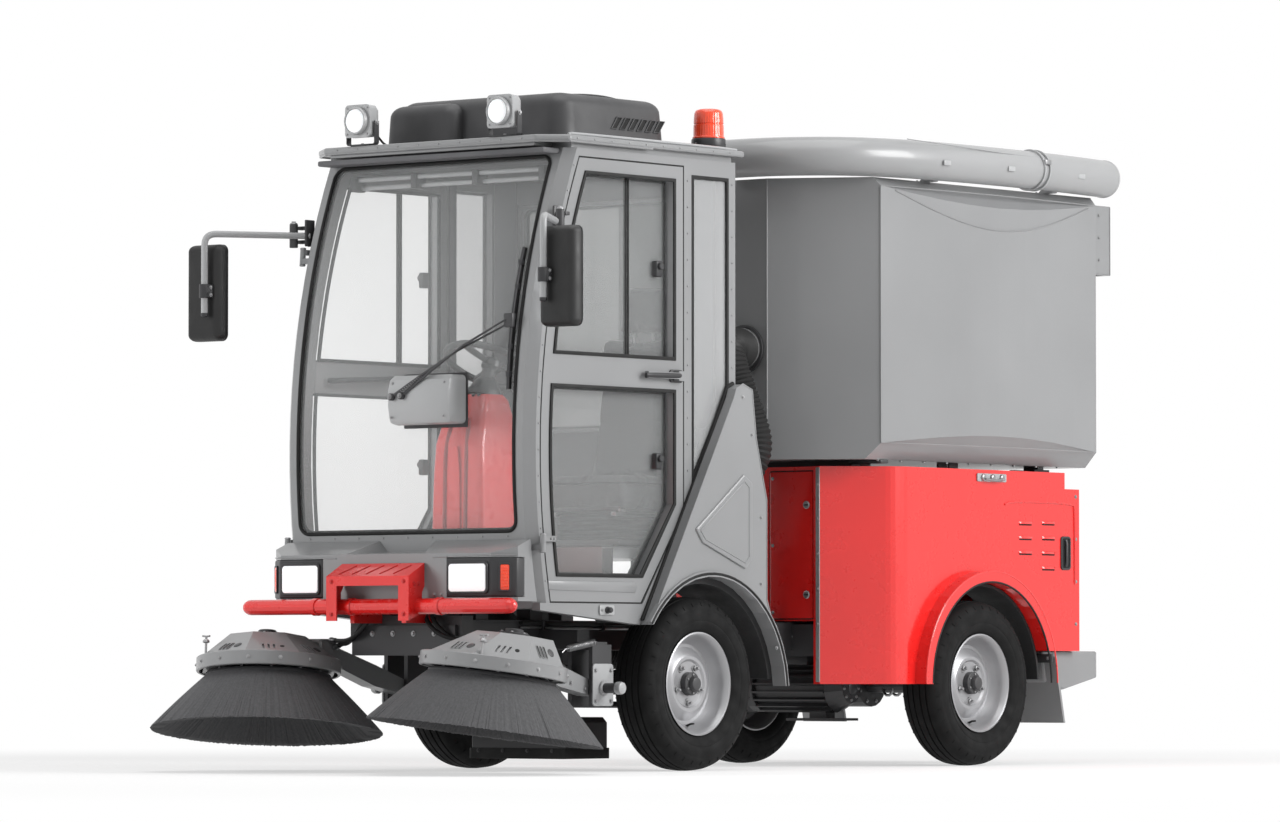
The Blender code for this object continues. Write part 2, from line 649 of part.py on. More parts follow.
def glazing():
    edge = GAP
    low, high, half = SCREEN_LOW + edge, SCREEN_HIGH - edge, SCREEN_HALF_WIDTH - edge
    outer = front_edge(low, high, 0.004, 12)
    inner = front_edge(low, high, 0.004 + GLASS, 12)
    screen = plate("windscreen", outer + inner[::-1], SIDE_VIEW, -half, half, CLEAR_GLASS)
    trim = box("screen_trim", (-half, -1.3, low), (half, -0.6, high), GREY)
    round_edges(trim, 0.0405, 3)
    keep(screen, trim)
    rear = box("rear_window", (-0.42 + edge, 0.19, 1.30 + edge), (0.42 - edge, 0.19 + GLASS, 2.15 - edge),
               CLEAR_GLASS)
    trim_rear = box("rear_trim", (-0.42 + edge, 0.1, 1.30 + edge), (0.42 - edge, 0.3, 2.15 - edge), GREY,
                    0.0303, 2)
    keep(rear, trim_rear)
    carry(datum, screen, trim, rear, trim_rear)
    for side, sign in sides():
        quarter = [(-0.05 + edge, 1.083), (-0.05 + edge, 2.22 - edge), (0.165 - edge, 2.22 - edge),
                   (0.165 - edge, 1.4208)]
        inner_x, outer_x = sorted((sign * (CAB_HALF_WIDTH - 0.012), sign * (CAB_HALF_WIDTH - 0.006)))
        pane = plate("quarter_glass_" + side, quarter, SIDE_VIEW, inner_x, outer_x, CLEAR_GLASS)
        carry(datum, pane)


DOOR_HINGE_LOW = (-0.945, 0.836)
DOOR_HINGE_HIGH = (-0.862, 1.925)
DOOR_HINGE_X = CAB_HALF_WIDTH + 0.022


def hinge_point(z):
    share = (z - DOOR_HINGE_LOW[1]) / (DOOR_HINGE_HIGH[1] - DOOR_HINGE_LOW[1])
    return DOOR_HINGE_LOW[0] + share * (DOOR_HINGE_HIGH[0] - DOOR_HINGE_LOW[0])


def doors(shell):
    half, wall = CAB_HALF_WIDTH, CAB_WALL
    for side, sign in sides():
        hinge = joint("door_hinge_" + side, (sign * DOOR_HINGE_X, hinge_point(1.4), 1.4))
        inner_x, outer_x = sorted((sign * (half - wall), sign * half))
        door = plate("door_" + side, door_outline(), SIDE_VIEW, inner_x, outer_x, GREY)
        low_x, high_x = sorted((sign * (half - 0.1), sign * (half + 0.1)))
        upper = plate("upper_window", window_outline(MID_RAIL_HIGH, DOOR_TOP - DOOR_FRAME), SIDE_VIEW, low_x,
                      high_x, GREY)
        lower = plate("lower_window", window_outline(0.72, MID_RAIL_LOW), SIDE_VIEW, low_x, high_x, GREY)
        cut(door, upper, lower)
        extra = []
        brackets = []
        for z in (DOOR_HINGE_LOW[1], DOOR_HINGE_HIGH[1]):
            y = hinge_point(z)
            x = sign * DOOR_HINGE_X
            lean = (DOOR_HINGE_HIGH[0] - DOOR_HINGE_LOW[0]) / (DOOR_HINGE_HIGH[1] - DOOR_HINGE_LOW[1])
            foot, seat, head = [(x, y + lean * rise, z + rise) for rise in (-0.03, 0.003, 0.03)]
            extra.append(cylinder("door_barrel", seat, head, 0.011, STEEL, 12))
            edge_y = front_y(z, DOOR_EDGE_OFFSET)
            low, high = sorted((sign * (half + CLEAR), sign * (half + 0.016)))
            extra.append(box("door_leaf", (low, y + 0.002, z + 0.006), (high, edge_y + 0.045, z + 0.027),
                             STEEL))
            low, high = sorted((sign * (half - 0.004), sign * (half + 0.012)))
            extra.append(box("leaf_foot", (low, edge_y + 0.012, z + 0.0065), (high, edge_y + 0.044,
                                                                              z + 0.0265), STEEL))
            seat = (seat[0], seat[1], seat[2] - GAP)
            brackets.append(cylinder("frame_barrel", foot, seat, 0.011, STEEL, 12))
            low, high = sorted((sign * (half - 0.03), sign * (half + 0.018)))
            brackets.append(box("frame_leaf", (low, y - 0.012, z - 0.027), (high, y + 0.012, z - 0.006),
                                STEEL))
        handle_z = 1.468
        grip_low, grip_high = sorted((sign * (half - 0.002), sign * (half + 0.03)))
        extra.append(box("handle_base", (grip_low, -0.165, handle_z - 0.018), (grip_high, -0.125,
                                                                               handle_z + 0.018), PLASTIC))
        grip_low, grip_high = sorted((sign * (half + 0.012), sign * (half + 0.03)))
        extra.append(box("handle_grip", (grip_low, -0.345, handle_z - 0.012), (grip_high, -0.13,
                                                                               handle_z + 0.012), PLASTIC))
        join(door, *extra)
        glass_x = half - wall - GAP
        low_x, high_x = sorted((sign * (glass_x - GLASS), sign * glass_x))
        pane = plate("door_glass_" + side, window_outline(0.70, DOOR_TOP - DOOR_FRAME + 0.02), SIDE_VIEW,
                     low_x, high_x, CLEAR_GLASS)
        carry(hinge, door, upper, lower, pane, *extra)
        join(shell, *brackets)
        carry(datum, *brackets)


def cab_outside():
    half = CAB_HALF_WIDTH + ROOF_OVERHANG
    front = front_y(CAB_TOP)
    top = CAB_TOP + ROOF_THICKNESS
    low = (-CAB_HALF_WIDTH + 0.012, front + 0.02, CAB_TOP + GAP)
    roof = box("roof_panel", low, (CAB_HALF_WIDTH - 0.012, CAB_REAR - 0.01, top - 0.01), GREY)
    lip, rear = front - 0.10, CAB_REAR + 0.04
    plan = [(-half, lip + 0.08), (-half + 0.10, lip), (half - 0.10, lip), (half, lip + 0.08), (half, rear),
            (-half, rear)]
    pan = plate("roof_pan", plan, PLAN_VIEW, top - 0.024, top, GREY)
    round_edges(pan, 0.008, 2)
    join(roof, pan)
    carry(datum, roof, pan)

    unit = hull_of("ac_housing", [
        (-0.42, -0.60, top + GAP), (0.42, -0.60, top + GAP), (0.425, 0.05, top + GAP), (-0.425, 0.05,
                                                                                        top + GAP),
        (-0.41, -0.59, top + 0.155), (0.41, -0.59, top + 0.155), (0.415, 0.045, top + 0.165), (-0.41, 0.04,
                                                                                               top + 0.15),
        (-0.33, -0.52, top + 0.19), (0.34, -0.52, top + 0.203), (0.35, 0.0, top + 0.183), (-0.33, 0.0,
                                                                                           top + 0.175),
    ], PLASTIC)
    round_edges(unit, 0.035, 2, 25)
    scoop = box("roof_ac", (-0.36, -0.665, top + 0.012), (-0.02, -0.50, top + 0.085), PLASTIC, 0.015, 1)
    slots = []
    for index in range(6):
        y = -0.28 + 0.05 * index
        slots.append(box("air_slot", (0.385, y - 0.012, top + 0.067), (0.5, y + 0.012, top + 0.102), PLASTIC))
    cut(unit, *slots)
    join(scoop, unit)
    carry(datum, unit, scoop, *slots)

    for side, sign in sides():
        x, y, z = sign * 0.3475, -0.835, top + 0.092
        low = (x - 0.062, y - 0.03, top + 0.03)
        lamp = box("work_light_" + side, low, (x + 0.062, y + 0.03, top + 0.155), GREY, 0.014, 2)
        extra = [cylinder("lamp_ring", (x, y - 0.05, z), (x, y - 0.02, z), 0.053, GREY, 18),
                 cylinder("lamp_back", (x, y + 0.02, z), (x, y + 0.055, z), 0.045, GREY, 16, 0.03),
                 box("lamp_foot", (x - 0.02, y - 0.02, top + GAP), (x + 0.02, y + 0.02, top + 0.04), GREY)]
        bowl = cylinder("lamp_bowl", (x, y - 0.06, z), (x, y - 0.042, z), 0.044, GREY, 18)
        join(lamp, *extra)
        cut(lamp, bowl)
        carry(datum, lamp, bowl, *extra)
    x, y = 0.48, 0.20
    profile = [(0.0, 0.165), (0.03, 0.164), (0.045, 0.158), (0.053, 0.146), (0.057, 0.12), (0.059, 0.05),
               (0.066, 0.044), (0.066, 0.0), (0.0, 0.0)]
    beacon = turned("beacon", profile, facing((x, y, top + GAP), (0, 0, 1)), AMBER, 16)
    carry(datum, beacon)

    for side, sign in sides():
        foot = (sign * 0.612, -0.84, MIRROR_ARM_Z)
        out_x, out_y = sign * 0.862, -1.09
        route = bend([foot, (out_x, out_y, MIRROR_ARM_Z), (out_x, out_y, 1.70)], 0.05)
        arm = tube("mirror_" + side, route, 0.0125, STEEL)
        low, high = sorted((sign * (CAB_HALF_WIDTH + GAP), sign * (CAB_HALF_WIDTH + 0.022)))
        extra = [box("mirror_foot", (low, -0.865, MIRROR_ARM_Z - 0.03), (high, -0.82, MIRROR_ARM_Z + 0.055),
                     STEEL)]
        low, high = sorted((sign * 0.775, sign * 0.945))
        extra.append(box("mirror_head", (low, -1.165, 1.605), (high, -1.105, 1.968), PLASTIC, 0.022, 2))
        extra.append(box("mirror_clamp", (out_x - 0.022, -1.125, 1.76), (out_x + 0.022, -1.07, 1.82), STEEL))
        join(arm, *extra)
        carry(datum, arm, *extra)

    rear = front_edge(1.265, 1.455, 0.004 - GAP, 4)[::-1]
    outline = [(-1.045, 1.27), (-1.085, 1.285), (-1.095, 1.40), (-1.065, 1.455)] + rear
    wiper = plate("wiper", outline, SIDE_VIEW, 0.03, 0.33, GREY)
    carry(datum, wiper)


def cab_inside():
    foot = CAB_FLOOR + CAB_WALL + GAP
    console = hull_of("console", [
        (0.0, -0.87, foot), (0.27, -0.87, foot), (0.27, -0.60, foot), (0.0, -0.60, foot),
        (0.02, -0.86, 1.20), (0.25, -0.86, 1.20), (0.25, -0.62, 1.20), (0.02, -0.62, 1.20),
        (0.05, -0.79, 1.40), (0.22, -0.79, 1.40), (0.22, -0.65, 1.39), (0.05, -0.65, 1.39),
    ], RED)
    round_edges(console, 0.02, 2)
    carry(datum, console)
    hub = Vector((0.135, -0.66, 1.50))
    axis = Vector((0, 0.45, 0.9)).normalized()
    turn = joint("steering_turn", hub)
    place = facing(hub, axis)
    bpy.ops.mesh.primitive_torus_add(major_radius=0.175, minor_radius=0.012, major_segments=24,
                                     minor_segments=6)
    wheel = bpy.context.object
    wheel.name = "steering_wheel"
    for home in list(wheel.users_collection):
        home.objects.unlink(wheel)
    parts.objects.link(wheel)
    wheel.data.materials.clear()
    wheel.data.materials.append(PLASTIC)
    wheel.data.transform(place)
    spokes = []
    for index in range(3):
        spoke = box("spoke", (0.01, -0.012, -0.006), (0.17, 0.012, 0.006), PLASTIC)
        spoke.data.transform(place @ Matrix.Rotation(2 * pi * index / 3 + pi / 2, 4, "Z"))
        spokes.append(spoke)
    spokes.append(cylinder("hub", hub - axis * 0.106, hub + axis * 0.015, 0.028, PLASTIC, 16))
    join(wheel, *spokes)
    carry(turn, wheel, *spokes)

    seat = box("driver_seat", (0.0, -0.28, 0.98), (0.46, 0.13, 1.09), FABRIC, 0.03, 2)
    extra = [box("seat_base", (0.07, -0.22, CAB_PLATFORM + CAB_WALL + GAP), (0.39, 0.08, 0.99), STEEL)]
    back = box("backrest", (0.02, -0.05, 0), (0.44, 0.05, 0.60), FABRIC, 0.03, 2)
    head = box("headrest", (0.11, -0.04, 0.58), (0.35, 0.04, 0.78), FABRIC, 0.03, 2)
    for cushion in (back, head):
        cushion.data.transform(Matrix.Translation((0, 0.06, 1.05)) @ Matrix.Rotation(radians(-6), 4, "X"))
        extra.append(cushion)
    join(seat, *extra)
    carry(datum, seat, *extra)


def front_end():
    low, high, front = 0.625, 0.85, FASCIA_FRONT
    profile = [(front, low), (front, 0.80), (front_y(high) - 0.004, high)] + front_edge(low, high, -GAP,
                                                                                        4)[::-1]
    fascia = plate("front_fascia", profile, SIDE_VIEW, -0.70, 0.70, GREY)
    plan = [(-0.588, -0.90), (-0.588, front + 0.06), (-0.51, front), (0.51, front), (0.588, front + 0.06),
            (0.588, -0.90)]
    trim = plate("fascia_plan", plan, PLAN_VIEW, 0.5, 0.9, GREY)
    valley = hull_of("fascia_valley", [
        (-0.21, -1.13, 0.799), (0.21, -1.13, 0.799), (0.24, -1.13, 0.9), (-0.24, -1.13, 0.9),
        (-0.08, -0.94, 0.812), (0.08, -0.94, 0.812), (0.15, -0.94, 0.9), (-0.15, -0.94, 0.9),
    ], GREY)
    pockets = []
    for side, sign in sides():
        pocket = [(0.30, -1.2), (0.70, -1.2), (0.70, -0.9216), (0.52, -1.06), (0.30, -1.06)]
        outline = [(sign * x, y) for x, y in pocket][::sign]
        pockets.append(plate("lamp_pocket", outline, PLAN_VIEW, 0.640, 0.785, GREY))
        shape = [(0.30 + GAP, -1.06 - GAP), (0.30 + GAP, front - 0.005), (0.512, front - 0.005),
                 (0.591, front + 0.056),
                 (0.591, -1.0059), (0.5198, -1.06 - GAP)]
        outline = [(sign * x, y) for x, y in shape][::sign]
        lamp = plate("headlight_" + side, outline, PLAN_VIEW, 0.640 + GAP, 0.785 - GAP, PLASTIC)
        low_x, high_x = sorted((sign * 0.309, sign * 0.503))
        bowl = box("lens_recess", (low_x, -1.2, 0.656), (high_x, front + 0.004, 0.764), PLASTIC, 0.012, 2)
        cut(lamp, bowl)
        carry(datum, lamp, bowl)
    keep(fascia, trim)
    cut(fascia, valley, *pockets)
    carry(datum, fascia, trim, valley, *pockets)

    ends = [(0.0, 0.66), (0.012, 0.6565), (0.0215, 0.648), (0.0275, 0.635), (0.029, 0.62)]
    profile = ends + [(radius, -reach) for radius, reach in reversed(ends)]
    guard = turned("front_guard", profile, facing((0, GUARD_TUBE[0], GUARD_TUBE[1]), (1, 0, 0)), RED, 14)
    face, half = GUARD_FRONT, 0.20
    shape = [(-half, 0.556), (-half + 0.05, 0.556), (-half + 0.05, 0.684), (half - 0.05, 0.684),
             (half - 0.05, 0.556),
             (half, 0.556), (half, 0.719), (-half, 0.719)]
    extra = [plate("guard_face", shape, FRONT_VIEW, face, face + GUARD_SHEET, RED)]
    for sign in (-1, 1):
        low_x, high_x = sorted((sign * (half - GUARD_SHEET), sign * half))
        flange = [(face, 0.556), (-1.15, 0.575), (-1.125, 0.60), (-1.125, 0.66), (-1.112, 0.68), (-1.112,
                                                                                                  0.765),
                  (face, 0.717)]
        extra.append(plate("guard_flange", flange, SIDE_VIEW, low_x, high_x, RED))
        low_x, high_x = sorted((sign * 0.115, sign * 0.135))
        extra.append(box("guard_stay", (low_x, -1.14, 0.548), (high_x, -0.985 - GAP, 0.60), RED))
    top = [(face, 0.719), (face, 0.713), (-1.112, 0.760), (-1.112, 0.766)]
    extra.append(plate("guard_top", top, SIDE_VIEW, -half, half, RED))
    slots = []
    for index in range(5):
        slot = box("guard_slot", (-0.0065, -0.036, -0.05), (0.0065, 0.036, 0.05), RED)
        turn = Matrix.Translation((0.066 * (index - 2), -1.156, 0.743)) @ Matrix.Rotation(radians(-32), 4,
                                                                                          "Z")
        slot.data.transform(turn)
        slots.append(slot)
    join(guard, *extra)
    cut(guard, *slots)
    carry(datum, guard, *extra, *slots)


def fenders():
    arch_centre = (0.0, 0.285)
    arch = arc(arch_centre, 0.44, 4, 144, 14)
    for side, sign in sides():
        outline = arch + [(-0.352, 0.556), (0.136, 1.395), (0.15, 1.43), (0.19, 1.448), (0.245, 1.432),
                          (0.27, 1.243),
                          (0.333, 1.018), (0.333, 0.641), (0.47, 0.316)]
        low, high = sorted((sign * (CAB_HALF_WIDTH + GAP), sign * 0.652))
        fender = plate("fender_" + side, outline, SIDE_VIEW, low, high, GREY)
        low, high = sorted((sign * 0.64, sign * 0.662))
        lip = arch + arc(arch_centre, 0.462, 4, 144, 14)[::-1]
        emboss = [(-0.10, 0.90), (-0.06, 0.85), (0.20, 0.755), (0.24, 0.79), (0.24, 1.08), (0.19, 1.11)]
        raised = [plate("arch_lip", lip, SIDE_VIEW, low, high, GREY)]
        low, high = sorted((sign * 0.64, sign * 0.66))
        raised.append(plate("fender_emboss", emboss, SIDE_VIEW, low, high, GREY))
        round_edges(raised[1], 0.006, 2)
        join(fender, *raised)
        carry(datum, fender, *raised)


# ---- rear body ----------------------------------------------------------------------------
def arch_outline(centre, radius, foot):
    """A half round over the wheel's centre height with straight legs down to the foot height."""
    top = arc((centre, TYRE_RADIUS), radius, 0, 180, 18)
    return [(centre + radius, foot)] + top + [(centre - radius, foot)]


def side_covers():
    wall, half = COVER_WALL, COVER_HALF_WIDTH
    front, rear = COVER_FRONT, COVER_REAR
    corner = arc((half - 0.12, COVER_CORNER_Y + 0.08), 0.12, 0, -48, 5)[::-1]
    for side, sign in sides():
        outer = [(0.003, front + 0.015), (0.375, front + 0.015), (0.375, front), (0.405, front)]
        outer += corner + [(half, rear), (0.003, rear)]
        inner = [(0.003, rear - wall), (half - wall, rear - wall)]
        inner += [(x - wall * 0.8, y + wall * 0.6) for x, y in reversed(corner)]
        inner += [(0.40, front + 0.015 + wall), (0.003, front + 0.015 + wall)]
        outline = [(sign * x, y) for x, y in outer + inner][::sign]
        cover = plate("side_cover_" + side, outline, PLAN_VIEW, COVER_LOW, COVER_HIGH, RED)
        centre = WHEELBASE + 0.01
        low, high = sorted((sign * (half - 0.01), sign * FLARE_X))
        flare = plate("arch_flare", arch_outline(centre, ARCH_RADIUS + 0.045, COVER_LOW), SIDE_VIEW, low,
                      high, RED)
        low, high = sorted((sign * 0.5, sign * 0.8))
        arch = plate("arch_hole", arch_outline(centre, ARCH_RADIUS, COVER_LOW - 0.05), SIDE_VIEW, low, high,
                     RED)
        low, high = sorted((sign * -0.01, sign * 0.37))
        bottom = COVER_LOW - 0.05
        holes = [arch]
        holes.append(box("access_foot", (low, front - 0.05, bottom), (high, front + 0.1, RAIL_HIGH + CLEAR),
                         RED))
        holes.append(box("rear_foot", (-0.7, centre + 0.2, bottom), (0.7, rear + 0.1, RAIL_LOW), RED))
        holes.append(box("tip_room", (-TIP_ROOM, rear - 0.1, 1.10), (TIP_ROOM, rear + 0.1, COVER_HIGH + 0.1),
                         RED))
        join(cover, flare)
        cut(cover, *holes)
        carry(datum, cover, flare, *holes)

    under = RAIL_LOW - GAP
    profile = [(2.19, under), (2.575, under), (2.575, 0.346), (2.335, 0.297), (2.21, 0.33)]
    bumper = plate("rear_bumper", profile, SIDE_VIEW, -0.60, 0.60, GREY)
    round_edges(bumper, 0.01, 2)
    flaps = []
    for side, sign in sides():
        low, high = sorted((sign * 0.44, sign * 0.655))
        shape = [(2.20, 0.43), (2.212, 0.43), (2.272, 0.165), (2.26, 0.165)]
        flaps.append(plate("mudflap", shape, SIDE_VIEW, low, high, RUBBER))
    join(bumper, *flaps)
    carry(datum, bumper, *flaps)


def hopper_form(name, inset, finish=None):
    """The hopper's faceted, bulged body, or the same form drawn in by a wall on every side."""
    half, bulge = HOPPER_HALF_WIDTH - inset, HOPPER_BULGE
    front, corner = HOPPER_FRONT + inset, HOPPER_CORNER_Y + inset * 0.5
    side = []
    for index in range(1, 8):
        share = index / 8
        side.append((half + bulge * sin(pi * share), corner + (HOPPER_REAR - inset - corner) * share))
    right = [(HOPPER_CENTRE_X - inset * 0.3, front), (half, corner)] + side + [(half, HOPPER_REAR - inset)]
    outline = right + [(-x, y) for x, y in reversed(right)]
    body = plate(name, outline, PLAN_VIEW, HOPPER_LOW + inset, HOPPER_TOP - inset, finish or GREY)
    trims = []
    for sign in (1, -1):
        lower = box("chamfer_low", (-0.5, 0.5, -0.5), (0.5, 3.0, 0.0), GREY)
        lower.data.transform(Matrix.Translation((sign * (half - 0.06), 0, HOPPER_LOW + inset - 0.005))
                             @ Matrix.Rotation(radians(-48 * sign), 4, "Y"))
        upper = box("chamfer_high", (-0.5, 0.5, 0.0), (0.5, 3.0, 0.5), GREY)
        upper.data.transform(Matrix.Translation((sign * (half + 0.001), 0, HOPPER_TOP - inset - 0.035))
                             @ Matrix.Rotation(radians(52 * sign), 4, "Y"))
        trims += [lower, upper]
    cut(body, *trims)
    return body, trims


def hopper():
    tip = joint("hopper_tip", (0, *TIP_AXIS))
    body, trims = hopper_form("hopper", 0.0)
    room, room_trims = hopper_form("hopper_room", HOPPER_WALL)
    rear, lip_rear = HOPPER_REAR, HOPPER_LIP_REAR
    mouth = box("hopper_mouth", (-0.56, rear - 0.1, 1.30), (0.56, rear + 0.01, 1.905), GREY)
    # the hood over the rear door is open below and at its back wall's foot
    lip = box("hopper_hood", (-0.64, rear - 0.015, HOPPER_LIP_LOW), (0.64, lip_rear, HOPPER_TOP - 0.03), GREY)
    hood_room = box("hood_room", (-0.62, rear + 0.005, HOPPER_LIP_LOW - 0.05), (0.62, lip_rear - 0.02,
                                                                                HOPPER_TOP - 0.05), GREY)
    inlet = cylinder("inlet_hole", (0.15, 0.7, 1.62), (0.15, 1.0, 1.62), 0.085, GREY, 24)
    fittings = []
    hinge_y, hinge_z = DOOR_HINGE
    for sign in (-1, 1):
        middle = sign * 0.45
        fittings.append(cylinder("tip_barrel", (middle - 0.0375, *TIP_AXIS), (middle + 0.0375, *TIP_AXIS),
                                 0.02, STEEL))
        low, high = (middle - 0.035, TIP_AXIS[0] - 0.02, TIP_AXIS[1]), (middle + 0.035, TIP_AXIS[0] + 0.02,
                                                                        HOPPER_LOW + 0.01)
        fittings.append(box("tip_leaf", low, high, STEEL))
        for x in LIFT_EARS:
            low, high = sign * x - 0.004, sign * x + 0.004
            low, high = (low, LIFT_EYE[0] - 0.03, LIFT_EYE[1] - 0.02), (high, LIFT_EYE[0] + 0.03,
                                                                        HOPPER_LOW + 0.01)
            fittings.append(box("lift_lug", low, high, STEEL))
        for x in (0.33, 0.47):
            low, high = (sign * x - 0.01, hinge_y - 0.03, hinge_z - 0.02), (sign * x + 0.01, lip_rear - 0.01,
                                                                            HOPPER_LIP_LOW + 0.06)
            fittings.append(box("door_lug", low, high, GREY))
    cut(body, room, mouth, inlet)
    cut(lip, hood_room)
    join(body, lip, *fittings)
    carry(tip, body, room, lip, hood_room, mouth, inlet, *trims, *room_trims, *fittings)

    swing = joint("hopper_door_hinge", (0, *DOOR_HINGE), tip)
    door = box("hopper_door", (-0.60, rear + GAP, 1.26), (0.60, rear + 0.035, hinge_z - 0.006), GREY, 0.006,
               1)
    knuckles = []
    for sign in (-1, 1):
        middle = sign * 0.40
        start, end = (middle - 0.0597, *DOOR_HINGE), (middle + 0.0597, *DOOR_HINGE)
        knuckles.append(cylinder("door_knuckle", start, end, 0.012, GREY, 12))
        low, high = (middle - 0.05, rear + 0.02, hinge_z - 0.012), (middle + 0.05, hinge_y, hinge_z + 0.004)
        knuckles.append(box("door_tab", low, high, GREY))
    join(door, *knuckles)
    carry(swing, door, *knuckles)

    z = HOPPER_TOP + GAP + DUCT_RADIUS
    plan = [(0.06, 0.75), (0.30, 0.76), (0.50, 0.86), (0.64, 1.04), (0.705, 1.35), (0.72, 1.70),
            (0.715, 2.10), (0.67, 2.53)]
    duct = tube("top_duct", bend([(x, y, z) for x, y in plan], 0.16, 2), DUCT_RADIUS, GREY, 3)
    collar = cylinder("duct_collar", (0.717, 1.945, z), (0.7165, 1.98, z), DUCT_RADIUS + 0.006, GREY, 20)
    feet = [box("duct_foot", (0.57, y - 0.02, HOPPER_TOP + GAP), (0.69, y + 0.02, z - 0.02),
                GREY) for y in (1.40, 2.20)]
    join(duct, collar, *feet)
    carry(tip, duct, collar, *feet)


def lift_cylinders():
    along = Vector((0, LIFT_EYE[0] - LIFT_FOOT[0], LIFT_EYE[1] - LIFT_FOOT[1]))
    length = along.length
    along.normalize()
    for side, sign in sides():
        x = sign * 0.42
        base = Vector((x, *LIFT_FOOT))
        swing = joint("cylinder_foot_" + side, base)
        profile = [(0.0212, length - 0.10), (0.033, length - 0.10), (0.033, 0.055), (0.02, 0.055),
                   (0.02, 0.0),
                   (0.0, 0.0), (0.0, 0.07), (0.0212, 0.07)]
        barrel = turned("lift_cylinder_" + side, profile, facing(base, along), STEEL, 14)
        eye_low = cylinder("cylinder_eye", base - Vector((0.0222, 0, 0)), base + Vector((0.0222, 0, 0)),
                           0.024, STEEL, 16)
        join(barrel, eye_low)
        slide = joint("rod_slide_" + side, base + along * (length - 0.1), swing)
        rod = cylinder("lift_rod_" + side, base + along * 0.08, base + along * (length - 0.01), 0.0202,
                       CHROME, 14)
        tip_eye = Vector((x, *LIFT_EYE))
        rod_eye = cylinder("rod_eye", tip_eye - Vector((0.0222, 0, 0)), tip_eye + Vector((0.0222, 0, 0)),
                           0.024, STEEL, 16)
        join(rod, rod_eye)
        carry(swing, barrel, eye_low)
        carry(slide, rod, rod_eye)


def suction():
    """The nozzle between the front wheels is hollow and open below; its hose runs up behind the cab."""
    nozzle = box("suction_nozzle", (-0.23, -0.36, 0.06), (0.23, -0.08, 0.20), STEEL, 0.02, 1)
    collar = cylinder("nozzle_collar", (0, -0.22, 0.19), (0, -0.22, 0.27), 0.085, STEEL, 24)
    room = box("nozzle_room", (-0.215, -0.345, 0.0), (0.215, -0.095, 0.185), STEEL)
    bore = cylinder("nozzle_bore", (0, -0.22, 0.1), (0, -0.22, 0.4), 0.07, STEEL, 24)
    straps = []
    for sign in (-1, 1):
        low, high = sorted((sign * 0.15, sign * (RAIL_INNER - GAP)))
        straps.append(box("nozzle_strap", (low, -0.34, 0.19), (high, -0.30, 0.50), STEEL))
    join(nozzle, collar, *straps)
    cut(nozzle, room, bore)
    carry(datum, nozzle, collar, room, bore, *straps)
    route = bend([(0, -0.22, 0.27 + GAP), (0, -0.22, 0.46), (0, 0.40, 0.46), (0.10, 0.42, 0.85),
                  (0.36, 0.655, 1.2),
                  (0.22, 0.60, 1.62), (0.15, 0.826, 1.62)], 0.11, 4)
    hose = tube("suction_hose", route, 0.08, RUBBER, 3)
    carry(datum, hose)


# ---- side brushes -------------------------------------------------------------------------
def hood_ring(radius, height, shift, sign):
    """Corners of one of the hood's eight-sided rings, moved outboard and back by the shift."""
    corners = []
    for index in range(HOOD_SIDES):
        angle = 2 * pi * (index + 0.5) / HOOD_SIDES
        corners.append(Vector((radius * cos(angle) + sign * shift, radius * sin(angle) + shift * 0.8, height)))
    return corners


def brush_hood(side, sign, centre, axis, top):
    """A sheet hood over the brush's ring: an upright skirt, eight sloping faces and a flat top."""
    upright = Matrix.Translation(centre) @ Vector((0, 0, 1)).rotation_difference(axis).to_matrix().to_4x4()
    skirt = hood_ring(0.262, top + 0.018, 0.0, sign)
    waist = hood_ring(0.262, top + 0.064, 0.0, sign)
    crown = hood_ring(0.150, top + 0.158, 0.045, sign)
    hood = hull_of("brush_arm_" + side, [upright @ corner for corner in skirt + waist + crown], GREY)
    slots = []
    for face in range(0, HOOD_SIDES, 2):
        after = (face + 1) % HOOD_SIDES
        low = (waist[face] + waist[after]) / 2
        rise = ((crown[face] + crown[after]) / 2 - low).normalized()
        across = (waist[after] - waist[face]).normalized()
        middle = low + rise * 0.05
        turn = Matrix((across, rise, across.cross(rise))).transposed().to_4x4()
        for offset in (-0.03, -0.01, 0.01):
            slot = box("hood_slot", (offset - 0.004, -0.02, -0.008), (offset + 0.004, 0.02, 0.03), GREY)
            slot.data.transform(upright @ Matrix.Translation(middle) @ turn)
            slots.append(slot)
    return hood, slots


